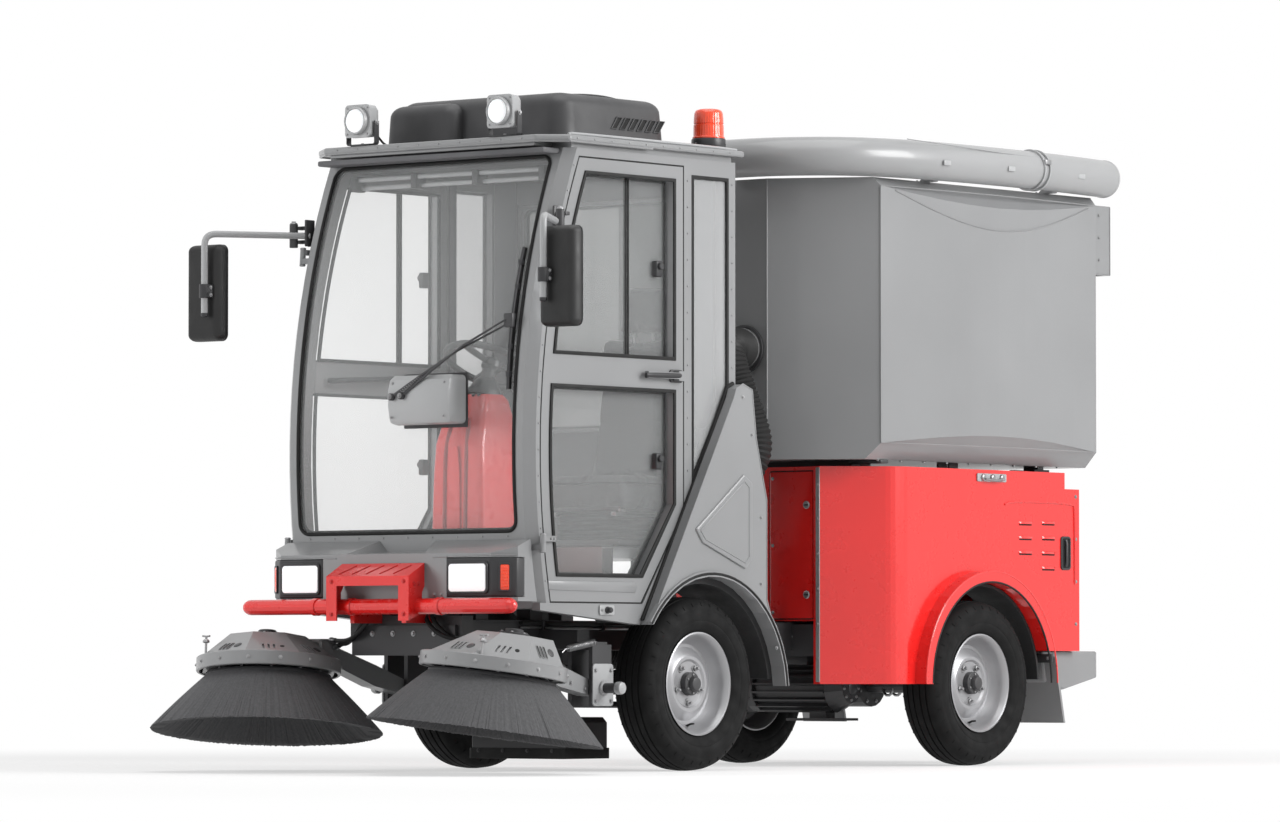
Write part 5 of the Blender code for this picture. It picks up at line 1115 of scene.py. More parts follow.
def console():
    kit = Kit("console_detail")
    levels = ((0.6405, 0.004, 0.268, -0.868, -0.604), (0.72, 0.006, 0.266, -0.866, -0.606),
              (1.10, 0.016, 0.254, -0.861, -0.616), (1.21, 0.022, 0.248, -0.856, -0.624),
              (1.30, 0.036, 0.236, -0.828, -0.636), (1.370, 0.050, 0.222, -0.800, -0.650),
              (1.392, 0.064, 0.208, -0.786, -0.664))
    kit.add(loft([[at(x, y, level[0]) for x, y in rounded(*level[1:], 0.024)] for level in levels]), "red")
    # two vertical grooves down the front, drawn in a darker red as painted shade, and a raised spine between
    # them
    for x, top_x in ((0.085, 0.095), (0.185, 0.175)):
        kit.rod([(x, -0.8690, 0.70), (x, -0.8645, 1.08), (x, -0.8605, 1.19), (top_x, -0.834, 1.30)], 0.0075,
                "red_dark", rounds=2, squash=0.7)
    spine = [(0.105, 0.72), (0.165, 0.72), (0.160, 1.10), (0.150, 1.20), (0.120, 1.20), (0.110, 1.10)]
    kit.panel(spine, -0.8705, 0.006, 0.0025, "red")
    boot = [(0, -0.02), (0.066, -0.02), (0.066, 0.0), (0.060, 0.010), (0.048, 0.038), (0.040, 0.050),
            (0, 0.050)]
    kit.turned(boot, 32, "plastic", (0.135, -0.700, 1.398), (0, 0.35, 0.94))
    for x in (0.085, 0.110, 0.160, 0.185):
        kit.turned(stud(0.006, 0.006, 0.0075, 0.004), 18, "plastic", (x, -0.790, 1.388), (0, -0.6, 0.8))
    kit.rod([(0.205, -0.68, 1.39), (0.235, -0.67, 1.43), (0.275, -0.66, 1.465)], 0.0045, "steel", rounds=2)
    grip = [(0, 0.020), (0.006, 0.019), (0.010, 0.012), (0.010, -0.004), (0.006, -0.010), (0, -0.011)]
    kit.turned(grip, 20, "plastic", (0.275, -0.66, 1.465), (0.7, 0.2, 0.65))
    kit.done("console")

    wheel = Kit("steering_wheel_detail", "steering_wheel")
    place = facing(at(0.135, -0.66, 1.50), (0, 0.45, 0.9))
    ring = [place @ Vector((x, y, 0)) for x, y in circle(72, 0.175)]
    wheel.add(pipe(ring, 0.0135, 16, closed=True), "plastic")
    hub = [(0, 0.030), (0.022, 0.029), (0.034, 0.022), (0.038, 0.012), (0.038, -0.008), (0.028, -0.022),
           (0.024, -0.10), (0, -0.104)]
    wheel.add(lathe(hub, 40), "plastic", place)
    for index in range(3):
        spoke_turn = place @ turn(120 * index + 90, "Z")
        reach = ((0.028, 0.010), (0.08, 0.002), (0.14, -0.002), (0.172, 0))
        spoke = [spoke_turn @ Vector((x, 0, z)) for x, z in reach]
        wheel.add(pipe(smooth_path(spoke, 2), 0.0125, 12, squash=0.45), "plastic")
    knob = [(0, 0.045), (0.010, 0.044), (0.017, 0.036), (0.018, 0.026), (0.012, 0.016), (0.007, 0.010),
            (0.007, 0), (0, 0)]
    axis = place.to_3x3() @ Vector(UP)
    wheel.add(lathe(knob, 28), "plastic", facing(place @ Vector((-0.152, 0.087, 0.010)), axis))
    wheel.done("steering_wheel")


# ---- front end and brush arms
ARM_PIVOT = (-0.47, 0.31)  # the arm pin's station and height
HOSE_RUNS = (
    ((0.10, -0.93, 0.600), (0.11, -1.00, 0.605), (0.14, -1.035, 0.555), (0.20, -1.03, 0.505),
     (0.27, -1.00, 0.485), (0.34, -0.965, 0.484), (0.398, -0.945, 0.486)),
    ((0.13, -0.93, 0.612), (0.14, -1.00, 0.617), (0.165, -1.03, 0.560), (0.225, -1.015, 0.500),
     (0.285, -0.985, 0.474), (0.345, -0.945, 0.474), (0.398, -0.922, 0.462)))


def fascia_side(kit):
    # folded edges and pressed lines on the grey fascia
    kit.rod([(0.235, -1.1062, 0.786), (0.52, -1.1062, 0.7925), (0.588, -1.0485, 0.7925)], 0.0022, "grey", 8)
    kit.box((0.385, -1.1075, 0.634), (0.495, -1.1035, 0.6385), 0.001, "seal")
    kit.bolts([(0.24, -1.1053, 0.65), (0.275, -1.1053, 0.65)], FRONT, 0.005)
    kit.bolts([(0.575, -0.965, 0.79)], OUT, 0.005)
    # guard: bolts on the flanges and along the tube's clamps
    kit.bolts([(0.2003, -1.145, 0.690), (0.2003, -1.170, 0.690), (0.2003, -1.142, 0.622)], OUT, 0.0055,
              "red_bolt")
    kit.bolts([(0.175, -1.2003, 0.580), (0.175, -1.2003, 0.700)], FRONT, 0.006, "red_bolt")
    clamp = [(0.0295, -0.012), (0.0325, -0.010), (0.0325, 0.010), (0.0295, 0.012), (0.027, 0.012),
             (0.027, -0.012)]
    for x in (0.125, 0.30):
        kit.turned(clamp, 36, "red", (x, -1.14, 0.608), OUT, closed=True)


def arm_mount_side(kit):
    # black hydraulic hoses that loop below the guard from the frame to the brush arm
    fitting = [(0, 0.028), (0.0098, 0.028), (0.0105, 0.026), (0.0105, 0.004), (0.012, 0.002), (0.012, -0.008),
               (0, -0.008)]
    for run in HOSE_RUNS:
        kit.rod(run, 0.0085, "hose", 12, 3)
        for end, ahead in ((run[0], run[1]), (run[-1], run[-2])):
            kit.turned(fitting, 18, "bolt", end, Vector(ahead) - Vector(end))
    # return spring above the arm, hooked between the beam and a lug on the pivot plates
    begin, end = kit.spot((0.500, -0.655, 0.455)), kit.spot((0.500, -0.505, 0.478))
    ahead = (end - begin).normalized()
    kit.add(pipe(coil(begin, end, 18, 0.0115, 16), 0.0021, 6), "bolt")
    kit.add(pipe([end - ahead * 0.004, end + ahead * 0.014, kit.spot((0.495, -0.478, 0.462))], 0.0028, 8),
            "bolt")
    kit.add(pipe([begin + ahead * 0.004, begin - ahead * 0.016, kit.spot((0.500, -0.69, 0.440))], 0.0028, 8),
            "bolt")
    # outer end of the pivot pin: light plate, boss and cap
    kit.plate(rounded(-0.530, -0.412, 0.244, 0.400, 0.014, 4), 0.5095, 0.5165, 0.002, "light_grey")
    kit.bolts([(0.5168, y, z) for y in (-0.515, -0.427) for z in (0.375, 0.262)], OUT, 0.0058)
    cap = [(0, 0.012), (0.014, 0.012), (0.021, 0.009), (0.0235, 0.003), (0.0235, -0.014), (0.0192, -0.016),
           (0, -0.016)]
    kit.turned(cap, 32, "light_grey", (0.598, *ARM_PIVOT), OUT)
    kit.turned(stud(0.011, 0.026, 0.028, 0.009), 28, "light_grey", (0.5165, *ARM_PIVOT), OUT)


def front_trim():
    kit = Kit("front_trim")
    for _, kit.hand in SIDES:
        fascia_side(kit)
    for _, kit.hand in SIDES:
        kit.bolts([(0.15, -1.0003, 0.51), (0.05, -1.0003, 0.51)], FRONT, 0.007)
        arm_mount_side(kit)
    kit.done()


def arm_trim():
    top = 0.205  # the hood's foot above the brush's own origin
    crown_height, waist_height = top + 0.158, top + 0.064
    for side, hand in SIDES:
        kit = Kit("brush_arm_trim_" + side, "brush_arm_" + side, hand)
        place = brush_place(hand)
        up = place.to_3x3() @ Vector(UP)
        # motor boss on the hood, with its ring of bolts
        centre = Vector((hand * 0.045, 0.036, crown_height))
        boss = [(0, 0.026), (0.030, 0.026), (0.034, 0.023), (0.034, 0.014), (0.054, 0.012), (0.058, 0.009),
                (0.058, 0.0), (0, 0)]
        kit.add(lathe(boss, 40), "steel", facing(place @ centre, up))
        kit.ring_of_bolts(place @ Matrix.Translation(centre), 0.047, 6, 0.0115, 0.0045)
        # folded flange and its bolts round the skirt
        band = [(0.238, 0.0655), (0.2655, 0.0655), (0.2685, 0.0625), (0.2685, 0.0165), (0.2655, 0.0135),
                (0.2575, 0.0135), (0.2575, 0.0600), (0.238, 0.0625)]
        kit.add(lathe(band, 96, closed=True), "grey", place @ Matrix.Translation((0, 0, top)))
        for x, y in circle(14, 1.0, 0.5):
            kit.bolt(place @ Vector((x * 0.2685, y * 0.2685, top + 0.040)),
                     place.to_3x3() @ Vector((x, y, 0)), 0.0050)
        # height setting screw at the hood's front outer corner, with its wing knob
        foot = place @ Vector((hand * 0.12, -0.215, waist_height - 0.002))
        kit.add(lathe([(0, 0.075), (0.0045, 0.075), (0.0045, 0.0), (0, 0)], 14), "bolt", facing(foot, up))
        nut = [(0, 0.014), (0.009, 0.013), (0.013, 0.008), (0.013, 0.002), (0.009, 0), (0, 0)]
        kit.add(lathe(nut, 6), "bolt", facing(foot + up * 0.048, up))
        reach = Vector((0.018, 0, 0))
        kit.add(pipe([foot + up * 0.074 - reach, foot + up * 0.072, foot + up * 0.074 + reach], 0.0035, 10),
                "bolt")
        # every second face of the hood has three slots and a stamped disc, the others a round eye; slots and
        # eyes are black sheets of painted shade
        waist = [Vector((x, y, waist_height)) for x, y in circle(8, 0.262, 0.5)]
        crown = [centre + Vector((x, y, 0)) for x, y in circle(8, 0.150, 0.5)]
        for face in range(8):
            after = (face + 1) % 8
            low = (waist[face] + waist[after]) / 2
            rise = ((crown[face] + crown[after]) / 2 - low).normalized()
            plane = place @ frame_of(low + rise * 0.052, waist[after] - waist[face], rise)
            if face % 2:
                for offset in (-0.034, -0.016, 0.002):
                    slot = rounded(offset - 0.0042, offset + 0.0042, -0.024, 0.024, 0.004, 3)
                    kit.add(slab(slot, 0.0016, 0.0004, 1), "void", plane)
                    kit.add(slab(shrunk(slot, -0.0022), 0.0026, 0.0008, hole=slot), "grey", plane)
                disc = stud(0.0024, 0.0135, 0.016, 0.001, -0.002)
                kit.add(lathe(disc, 32), "steel", plane @ Matrix.Translation((0.036, 0.004, 0)))
            else:
                eye = stud(0.0012, 0.0065, 0.0085, 0.0008, -0.002)
                kit.add(lathe(eye, 24), "void", plane @ Matrix.Translation((0.040, 0.0, 0)))
        # bolts on the arm's head and down its side
        kit.bolts([(0.4935, -0.96, 0.472), (0.4935, -0.96, 0.405), (0.4935, -0.92, 0.472)], OUT, 0.006)
        kit.bolts([(0.4853, -0.72, 0.365), (0.4853, -0.62, 0.330), (0.4853, -0.54, 0.308)], OUT, 0.0065)
        kit.turned(stud(0.003, 0.022, 0.027, 0.001, -0.002), 28, "bolt", (0.4885, *ARM_PIVOT), OUT)
        kit.done()


# ---- fenders, covers, hopper, rear end
FRONT_ARCH = (0.0, 0.285)
REAR_ARCH = (1.734, 0.325)
COVER_SIDE = 0.635
HOPPER_FRONT, HOPPER_REAR = 1.055, 2.50
HOPPER_HALF_WIDTH, HOPPER_BULGE, HOPPER_TOP = 0.65, 0.04, 2.28


def fender_trim():
    kit = Kit("fender_trim")
    for _, kit.hand in SIDES:
        kit.rod([(0.6615, y, z) for y, z in arc(FRONT_ARCH, 0.45, 4, 145, 5)], 0.0052, "seal")
        edge = [(0.470, 0.318), (0.334, 0.642), (0.334, 1.018), (0.271, 1.243), (0.246, 1.430), (0.19, 1.449),
                (0.15, 1.431), (0.136, 1.396), (-0.352, 0.557)]
        kit.rod([(0.6515, y, z) for y, z in edge], 0.0032, "grey", 8)
        kit.bolts([(0.6522, y, z) for y, z in ((0.30, 0.70), (0.30, 0.95), (0.245, 1.26), (0.19, 1.40),
                                               (0.395, 0.46))], OUT, 0.0052)
        field = [(-0.075, 0.895), (-0.045, 0.862), (0.195, 0.778), (0.218, 0.800), (0.218, 1.062),
                 (0.190, 1.083)]
        loop = dense([kit.spot((0.6600, y, z)) for y, z in field], 0.03)
        kit.add(pipe(loop, 0.0025, 8, closed=True), "grey")
        # moulded wheel arch liner
        liner = arc(FRONT_ARCH, 0.4488, 8, 141, 4) + arc(FRONT_ARCH, 0.413, 8, 141, 4)[::-1]
        kit.plate(liner, 0.36, 0.5995, 0.001, "arch_liner", 1)
    kit.done()


def louvre(kit, y, z, half=0.047, x=COVER_SIDE):
    """A pressed louvre: a hooded slot with round ends."""
    rows = []
    for share, reach in ((-1.0, 0.0), (-0.86, 0.006), (-0.5, 0.0085), (0.0, 0.009), (0.5, 0.0085),
                         (0.86, 0.006), (1.0, 0.0)):
        rows.append([kit.spot((x + out, y + half * share, z + dz)) for out, dz in (
            (-0.001, 0.010), (reach * 0.55, 0.0075), (reach, 0.001), (reach * 0.9, -0.002),
            (-0.001, -0.001))])
    kit.add(loft(rows), "red")
    # the mouth under the hood is a black sheet: painted shade
    mouth = rounded(y - half * 0.9, y + half * 0.9, z - 0.0075, z - 0.0005, 0.003, 4)
    kit.plate(mouth, x - 0.002, x + 0.0012, 0.0003, "void", 1)


def cover_trim():
    kit = Kit("cover_trim")
    x = COVER_SIDE
    for _, kit.hand in SIDES:
        for y, heights in ((2.029, (0.957, 0.899, 0.840)), (2.186, (0.960, 0.900, 0.840, 0.780))):
            for z in heights:
                louvre(kit, y, z)
        # recessed pull handle near the rear edge; a black sheet in its recess is painted shade
        pull = rounded(2.270, 2.336, 0.776, 0.910, 0.014, 5)
        kit.plate(pull, x - 0.002, x + 0.0055, 0.0025, "plastic", hole=shrunk(pull, 0.0085))
        kit.plate(shrunk(pull, 0.008), x - 0.002, x + 0.001, 0.0003, "void", 1)
        kit.rod([(x + 0.002, 2.303, 0.790), (x + 0.0065, 2.303, 0.805), (x + 0.0065, 2.303, 0.882),
                 (x + 0.002, 2.303, 0.896)], 0.0065, "plastic", 12)
        # raised crease above the louvres
        kit.rod([(x + 0.0005, 1.889, 1.030), (x + 0.0015, 1.93, 1.043), (x + 0.0015, 2.354, 1.043),
                 (x + 0.0015, 2.366, 1.020), (x + 0.0005, 2.366, 0.72)], 0.0045, "red", rounds=2, squash=0.8)
        # over-centre latch at the top edge
        kit.plate(rounded(1.700, 1.895, 1.118, 1.150, 0.006, 4), x, x + 0.006, 0.0018, "light_grey")
        rose = [(0, 0.011), (0.008, 0.011), (0.0125, 0.008), (0.0135, 0.004), (0.0135, 0.0), (0, 0)]
        for y in (1.735, 1.797, 1.860):
            kit.turned(rose, 24, "bolt", (x + 0.006, y, 1.134), OUT)
        kit.rod([(x + 0.020, 1.735, 1.128), (x + 0.022, 1.797, 1.122), (x + 0.020, 1.860, 1.128)], 0.0045,
                "bolt")
        # flare lip and seal round the rear arch
        kit.rod([(0.6885, y, z) for y, z in arc(REAR_ARCH, 0.4385, 0, 181, 4)], 0.0035, "red", 8)
        kit.rod([(0.6885, y, z) for y, z in arc(REAR_ARCH, 0.397, 0, 181, 4)], 0.0040, "seal", 8)
        # access panel beside the cab: recessed leaf, latches, bolts and the grey strip at its edge
        leaf = kit.flip(rounded(0.150, 0.368, 0.572, 1.150, 0.010, 4))
        kit.panel(leaf, 0.9975, 0.003, 0.001, "seal", hole=shrunk(leaf, 0.004))
        kit.panel(shrunk(leaf, 0.0045), 0.9945, 0.0055, 0.002, "red")
        for z in (1.016, 0.668):
            kit.turned(stud(0.005, 0.0125, 0.0155, 0.003), 28, "bolt", (0.335, 0.9945, z), FRONT)
            # a black bar across each latch: painted shade of its slot
            kit.box((0.325, 0.9865, z - 0.0022), (0.345, 0.9900, z + 0.0022), 0.0008, "void", 1)
        kit.bolts([(0.168, 0.9945, z) for z in (0.60, 0.86, 1.12)], FRONT, 0.0045)
        kit.box((0.388, 0.9815, 0.330), (0.406, 0.9875, 1.160), 0.002, "grey")
        kit.bolts([(0.397, 0.9815, 0.42 + 0.135 * step) for step in range(6)], FRONT, 0.0042)
        kit.bolts([(0.6353, 2.375, 0.56 + 0.17 * step) for step in range(4)], OUT, 0.005)
        # moulded arch liner behind the rear wheel's opening
        liner = arc(REAR_ARCH, 0.392, 2, 179, 4) + arc(REAR_ARCH, 0.380, 2, 179, 4)[::-1]
        kit.plate(liner, 0.455, 0.632, 0.001, "arch_liner", 1)
    kit.done()


def hopper_side(y):
    """Half width of the hopper's bulged side at a station."""
    share = max(0.0, min(1.0, (y - HOPPER_FRONT) / (HOPPER_REAR - HOPPER_FRONT)))
    return HOPPER_HALF_WIDTH + HOPPER_BULGE * sin(pi * share)


def hopper_body(kit):
    for _, kit.hand in SIDES:
        # weld beads along the long edges of the body
        stations = [HOPPER_FRONT + 1.44 * i / 24 for i in range(25)]
        for z, lift in ((2.246, -0.0005), (1.252, 0.0005)):
            kit.rod([(hopper_side(y) + lift, y, z) for y in stations], 0.0026, "grey", 8, squash=0.6)
        kit.rod([(0.6505, 1.0545, 1.255), (0.6505, 1.0545, 2.243)], 0.0030, "grey")
        kit.rod([(0.2575, 0.8445, 1.195), (0.2575, 0.8445, 2.276)], 0.0030, "grey")
        # pressed bow along the top of each side, which fades into the flat
        bow = [(1.14 + 1.30 * i / 32, 2.232 - 0.125 * sin(pi * i / 32)) for i in range(33)]
        kit.rod([(hopper_side(y) + 0.0008, y, z) for y, z in bow], 0.0036, "grey", 8, squash=0.7)
        # studs and strap over the tipping frame
        kit.bolts([(0.585, 1.12 + 0.15 * step, 1.1905) for step in range(9)], DOWN, 0.006)
        kit.box((0.44, 1.12, 1.176), (0.60, 1.17, 1.1905), 0.003, "steel")
        # side plates and hinge hardware of the rear door
        kit.bolts([(0.34, 2.575, 1.94), (0.48, 2.575, 1.94)], OUT, 0.009)
        kit.rod([(0.6405, 2.495, 1.974), (0.6405, 2.612, 1.974), (0.6405, 2.612, 2.246)], 0.0028, "grey", 8)
        kit.bolts([(0.6402, 2.535, z) for z in (2.03, 2.12, 2.21)], OUT, 0.005)
    kit.hand = 1
    # pressed swages and two lifting eyes on the roof
    for x in (-0.40, -0.10, 0.20):
        kit.rod([(x, 1.10, 2.2805), (x, 1.18, 2.2850), (x, 2.32, 2.2850), (x, 2.40, 2.2805)], 0.010, "grey",
                12, 2, squash=0.5)
    for y in (1.12, 2.38):
        kit.rod([(-0.52 + dx, y, 2.303 + dz) for dx, dz in circle(24, 0.020)], 0.0055, "steel", closed=True)
        kit.box((-0.542, y - 0.012, 2.279), (-0.498, y + 0.012, 2.287), 0.002, "steel")
    # gasket round the mouth behind the door, and the suction hose's collar at the front
    gasket = rounded(-0.575, 0.575, 1.285, 1.920, 0.02, 5)
    kit.panel(gasket, 2.4998, 0.0006, 0.0, "seal", hole=shrunk(gasket, 0.012))
    collar = [(0.087, 0.0), (0.094, 0.002), (0.094, 0.014), (0.088, 0.016), (0.083, 0.016), (0.083, 0.0)]
    kit.turned(collar, 48, "steel", (0.15, 0.8445, 1.62), FRONT, closed=True)


def duct(kit):
    """A smooth tube in the solid's place, with bands, quick clips, feet and rolled rims."""
    z = HOPPER_TOP + 0.0753  # height of the duct's axis
    route = [(0.06, 0.75), (0.18, 0.752), (0.32, 0.766), (0.42, 0.805), (0.52, 0.870), (0.60, 0.965),
             (0.655, 1.09), (0.688, 1.24), (0.706, 1.42), (0.716, 1.62), (0.7195, 1.80), (0.7175, 2.00),
             (0.709, 2.18), (0.692, 2.37), (0.671, 2.525)]
    kit.rod([(x, y, z) for x, y in route], 0.0748, "duct", 48, 2)
    band = [(0.0800, -0.004), (0.0830, -0.003), (0.0830, 0.003), (0.0800, 0.004), (0.077, 0.004),
            (0.077, -0.004)]
    for y in (1.945, 1.980):
        kit.turned(band, 56, "light_grey", (0.7168, y, z), REAR, closed=True)
    kit.boxes([(0.7168 + x, 1.962, z + dz) for x, dz in arc((0, 0), 0.084, 20, 201, 180)],
              (0.006, 0.020, 0.010), 0.003, "bolt")
    for x, y in ((0.700, 1.32), (0.7195, 1.72), (0.703, 2.22)):
        kit.box((x + 0.0715, y - 0.022, z - 0.022), (x + 0.0785, y + 0.022, z - 0.002), 0.002, "light_grey")
    kit.rod([(0.745, 1.10, z + 0.069), (0.765, 1.40, z + 0.058), (0.777, 1.70, z + 0.047),
             (0.774, 1.94, z + 0.047)], 0.0018, "grey", 6, 2)
    cap = [(0, 0.010), (0.064, 0.010), (0.071, 0.006), (0.0762, 0.001), (0.0765, -0.022), (0.0740, -0.024),
           (0, -0.024)]
    kit.turned(cap, 48, "grey", (0.058, 0.75, z), (-1, 0, 0))
    kit.box((0.075, 0.72, 2.262), (0.115, 0.775, 2.288), 0.004, "grey")
    rim = [(0, -0.012), (0.060, -0.012), (0.066, -0.003), (0.0700, 0.001), (0.0745, 0.001), (0.0762, -0.002),
           (0.0762, -0.012), (0.0, -0.014)]
    kit.turned(rim, 48, "light_grey", (0.670, 2.530, z), (-0.105, 1, 0))
    kit.bolts([(0.585, y, 2.283) for y in (1.38, 1.42, 2.18, 2.22)], UP, 0.005)
    shoe = [(0.585, 2.2803), (0.660, 2.2803), (0.690, 2.330), (0.655, 2.338), (0.620, 2.310)]
    for y in (1.40, 2.20):
        kit.panel(shoe, y - 0.017, 0.034, 0.004, "grey")


def hopper_trim():
    kit = Kit("hopper_trim", "hopper")
    hopper_body(kit)
    duct(kit)
    kit.done("top_duct")

    door = Kit("hopper_door_trim", "hopper_door")
    field = rounded(-0.555, 0.555, 1.305, 1.880, 0.030, 6)
    door.panel(field, 2.5345, 0.007, 0.003, "grey", hole=shrunk(field, 0.020))
    for x in (-0.36, -0.12, 0.12, 0.36):
        rib = [(x - 0.022, 1.345), (x + 0.022, 1.345), (x + 0.022, 1.840), (x - 0.022, 1.840)]
        door.panel(rib, 2.5345, 0.010, 0.0045, "grey", 3)
    for x in (-0.50, 0.50):
        door.panel(rounded(x - 0.022, x + 0.022, 1.262, 1.345, 0.007, 4), 2.5348, 0.014, 0.004, "steel")
        door.bolts([(x, 2.549, 1.322)], REAR, 0.008)
        door.rod([(x - 0.02, 2.553, 1.285), (x, 2.562, 1.280), (x + 0.02, 2.553, 1.285)], 0.006, "bolt", 12)
    # the hinges take the upper bolts' place at 0.38
    spots = [(x, 1.283) for x in (-0.57, -0.38, -0.19, 0.0, 0.19, 0.38, 0.57)]
    spots += [(x, 1.905) for x in (-0.57, -0.19, 0.0, 0.19, 0.57)]
    door.bolts([(x, 2.5353, z) for x, z in spots], REAR, 0.005)
    door.rod([(-0.10, 2.535, 1.40), (-0.10, 2.562, 1.40), (0.10, 2.562, 1.40), (0.10, 2.535, 1.40)], 0.009,
             "plastic", 14, 3)
    door.done()


def rear_trim():
    kit = Kit("rear_trim")
    for _, kit.hand in SIDES:
        # round tail lamps let into the bumper beam's outer ends
        rim = [(0.040, -0.004), (0.0405, 0.005), (0.038, 0.0085), (0.0345, 0.0085), (0.0335, 0.004),
               (0.0335, -0.004)]
        lens = [(0, 0.013), (0.012, 0.0128), (0.024, 0.0115), (0.031, 0.009), (0.0338, 0.005),
                (0.0338, -0.002), (0, -0.002)]
        for x, look_name in ((0.50, "tail_red"), (0.385, "amber")):
            kit.turned(rim, 48, "plastic", (x, 2.5755, 0.402), REAR, closed=True)
            kit.turned(lens, 64, look_name, (x, 2.5755, 0.402), REAR)
        kit.bolts([(x, 2.5753, 0.430) for x in (0.575, 0.30)], REAR, 0.006)
        # the mud flap's clamp bar
        kit.box((0.445, 2.186, 0.405), (0.65, 2.199, 0.440), 0.002, "steel")
        kit.bolts([(x, 2.186, 0.423) for x in (0.47, 0.55, 0.63)], FRONT, 0.005)
        # rear face of the lower body: bolts, vents and latches; the vents' slots and the latch's slot are
        # black sheets of painted shade
        kit.bolts([(0.605, 2.4003, z) for z in (0.52, 0.70, 0.88, 1.05)], REAR, 0.005)
        for step in range(5):
            z, middle = 0.66 + 0.055 * step, kit.hand * 0.33
            slot = rounded(middle - 0.075, middle + 0.075, z - 0.009, z + 0.009, 0.008, 4)
            kit.panel(shrunk(slot, 0.003), 2.400, 0.0015, 0.0003, "void", 1)
            kit.panel(slot, 2.400, 0.0045, 0.0015, "red", hole=shrunk(slot, 0.0035))
        latch = rounded(kit.hand * 0.07 - 0.035, kit.hand * 0.07 + 0.035, 0.985, 1.035, 0.008, 4)
        kit.panel(latch, 2.400, 0.010, 0.003, "plastic")
        kit.box((0.048, 2.409, 1.001), (0.092, 2.4125, 1.019), 0.0015, "void")
    kit.box((-0.0035, 2.3995, 0.47), (0.0035, 2.4025, 1.09), 0.001, "seal")
    kit.done()


# ---- chassis, hoses, seat
MOTOR = (1.36, 0.305)  # the drive motor's axis: station and height


def hose_route():
    corners = [Vector(c) for c in (
        (0, -0.22, 0.2703), (0, -0.22, 0.46), (0, 0.40, 0.46), (0.10, 0.42, 0.85), (0.36, 0.655, 1.2),
        (0.22, 0.60, 1.62), (0.15, 0.826, 1.62))]
    made = [corners[0]]
    for before, corner, after in zip(corners, corners[1:], corners[2:]):
        start, end = (corner + (side - corner).normalized() * min(0.11, (side - corner).length / 2)
                      for side in (before, after))
        for step in range(13):
            share = step / 12
            made.append(start.lerp(corner, share).lerp(corner.lerp(end, share), share))
    made.append(corners[-1])
    return [at(*p) for p in made]


def suction_hose():
    """Ribbed hose on the route that its solid fills, with a clamp at each end."""
    kit = Kit("suction_hose_detail")
    path = hose_route()
    lengths = [0.0]
    for a, b in zip(path, path[1:]):
        lengths.append(lengths[-1] + (b - a).length)
    total, pitch = lengths[-1], 0.0165
    points, radii = [], []
    steps = int(total / pitch) * 4
    index = 0
    for step in range(steps + 1):
        along = total * step / steps
        while index < len(lengths) - 2 and lengths[index + 1] < along:
            index += 1
        share = (along - lengths[index]) / max(1e-9, lengths[index + 1] - lengths[index])
        points.append(path[index].lerp(path[index + 1], share))
        wave = (0.0, 0.0045, 0.0065, 0.0045)[step % 4]
        radii.append(0.0745 + (wave if min(step, steps - step) > 6 else 0.003))
    kit.add(pipe(points, radii, 32), "hose")
    band = [(0.0785, -0.008), (0.0815, -0.007), (0.0815, 0.007), (0.0785, 0.008), (0.0770, 0.0)]
    for place, ahead in ((points[5], points[9]), (points[-6], points[-10])):
        kit.add(lathe(band, 48, closed=True), "bolt", facing(place, ahead - place))
    kit.done("suction_hose")


def rail_side(kit):
    # rail flanges and rows of frame bolts
    for low, high in ((0.450, 0.456), (0.5565, 0.5605)):
        kit.box((0.232, -0.92, low), (0.250, -0.05, high), 0.0015, "steel")
    stations = [-0.85 + 0.27 * step for step in range(12)]
    kit.bolts([(0.2355, y, 0.506) for y in stations if abs(y) > 0.10], OUT, 0.007)
    # leaf pack: clamps, U-bolts and eye bolts of the front springs
    for y in (-0.032, 0.032):
        for x in (0.174, 0.231):
            kit.rod([(x, y, 0.288), (x, y, 0.392)], 0.0055, "bolt")
            kit.bolts([(x, y, 0.292)], DOWN, 0.0075)
        kit.rod([(0.174, y, 0.385), (0.174, y, 0.400), (0.231, y, 0.400), (0.231, y, 0.385)], 0.0055, "bolt",
                rounds=2)
    kit.box((0.166, -0.045, 0.284), (0.239, 0.045, 0.2995), 0.003, "steel")
    for layer, reach in ((1, 0.27), (2, 0.20), (3, 0.13)):
        along = [reach * (i - 8) / 8 for i in range(17)]
        top = [(y, 0.352 - 0.0075 * layer + 0.2 * y**2) for y in along]
        kit.plate(top + [(y, z - 0.0062) for y, z in reversed(top)], 0.181, 0.224, 0.001, "steel", 1)
    kit.bolts([(0.2262, y, 0.388) for y in (-0.355, 0.355)], OUT, 0.009)
    # brake pipe and wiring loom along the rail, with clips
    for dz, radius, look_name in ((0.0, 0.0045, "bolt"), (0.018, 0.0095, "hose")):
        kit.rod([(0.244, -0.62, 0.535 + dz), (0.246, -0.30, 0.530 + dz), (0.246, 0.20, 0.532 + dz),
                 (0.246, 0.55, 0.528 + dz), (0.246, 0.92, 0.530 + dz)], radius, look_name, rounds=2)
    for y in (-0.50, -0.15, 0.25, 0.60, 0.88):
        kit.box((0.2355, y - 0.006, 0.522), (0.258, y + 0.006, 0.562), 0.002, "plastic")
    # rear: brake hose and the U-bolts of each spring pad
    kit.rod([(0.26, 1.60, 0.52), (0.30, 1.62, 0.46), (0.36, 1.66, 0.41), (0.42, 1.70, 0.40)], 0.0065, "hose",
            rounds=3)
    for y in (1.695, 1.753):
        kit.rod([(0.176, y, 0.385), (0.176, y, 0.276), (0.229, y, 0.276), (0.229, y, 0.385)], 0.0058, "bolt",
                rounds=2)


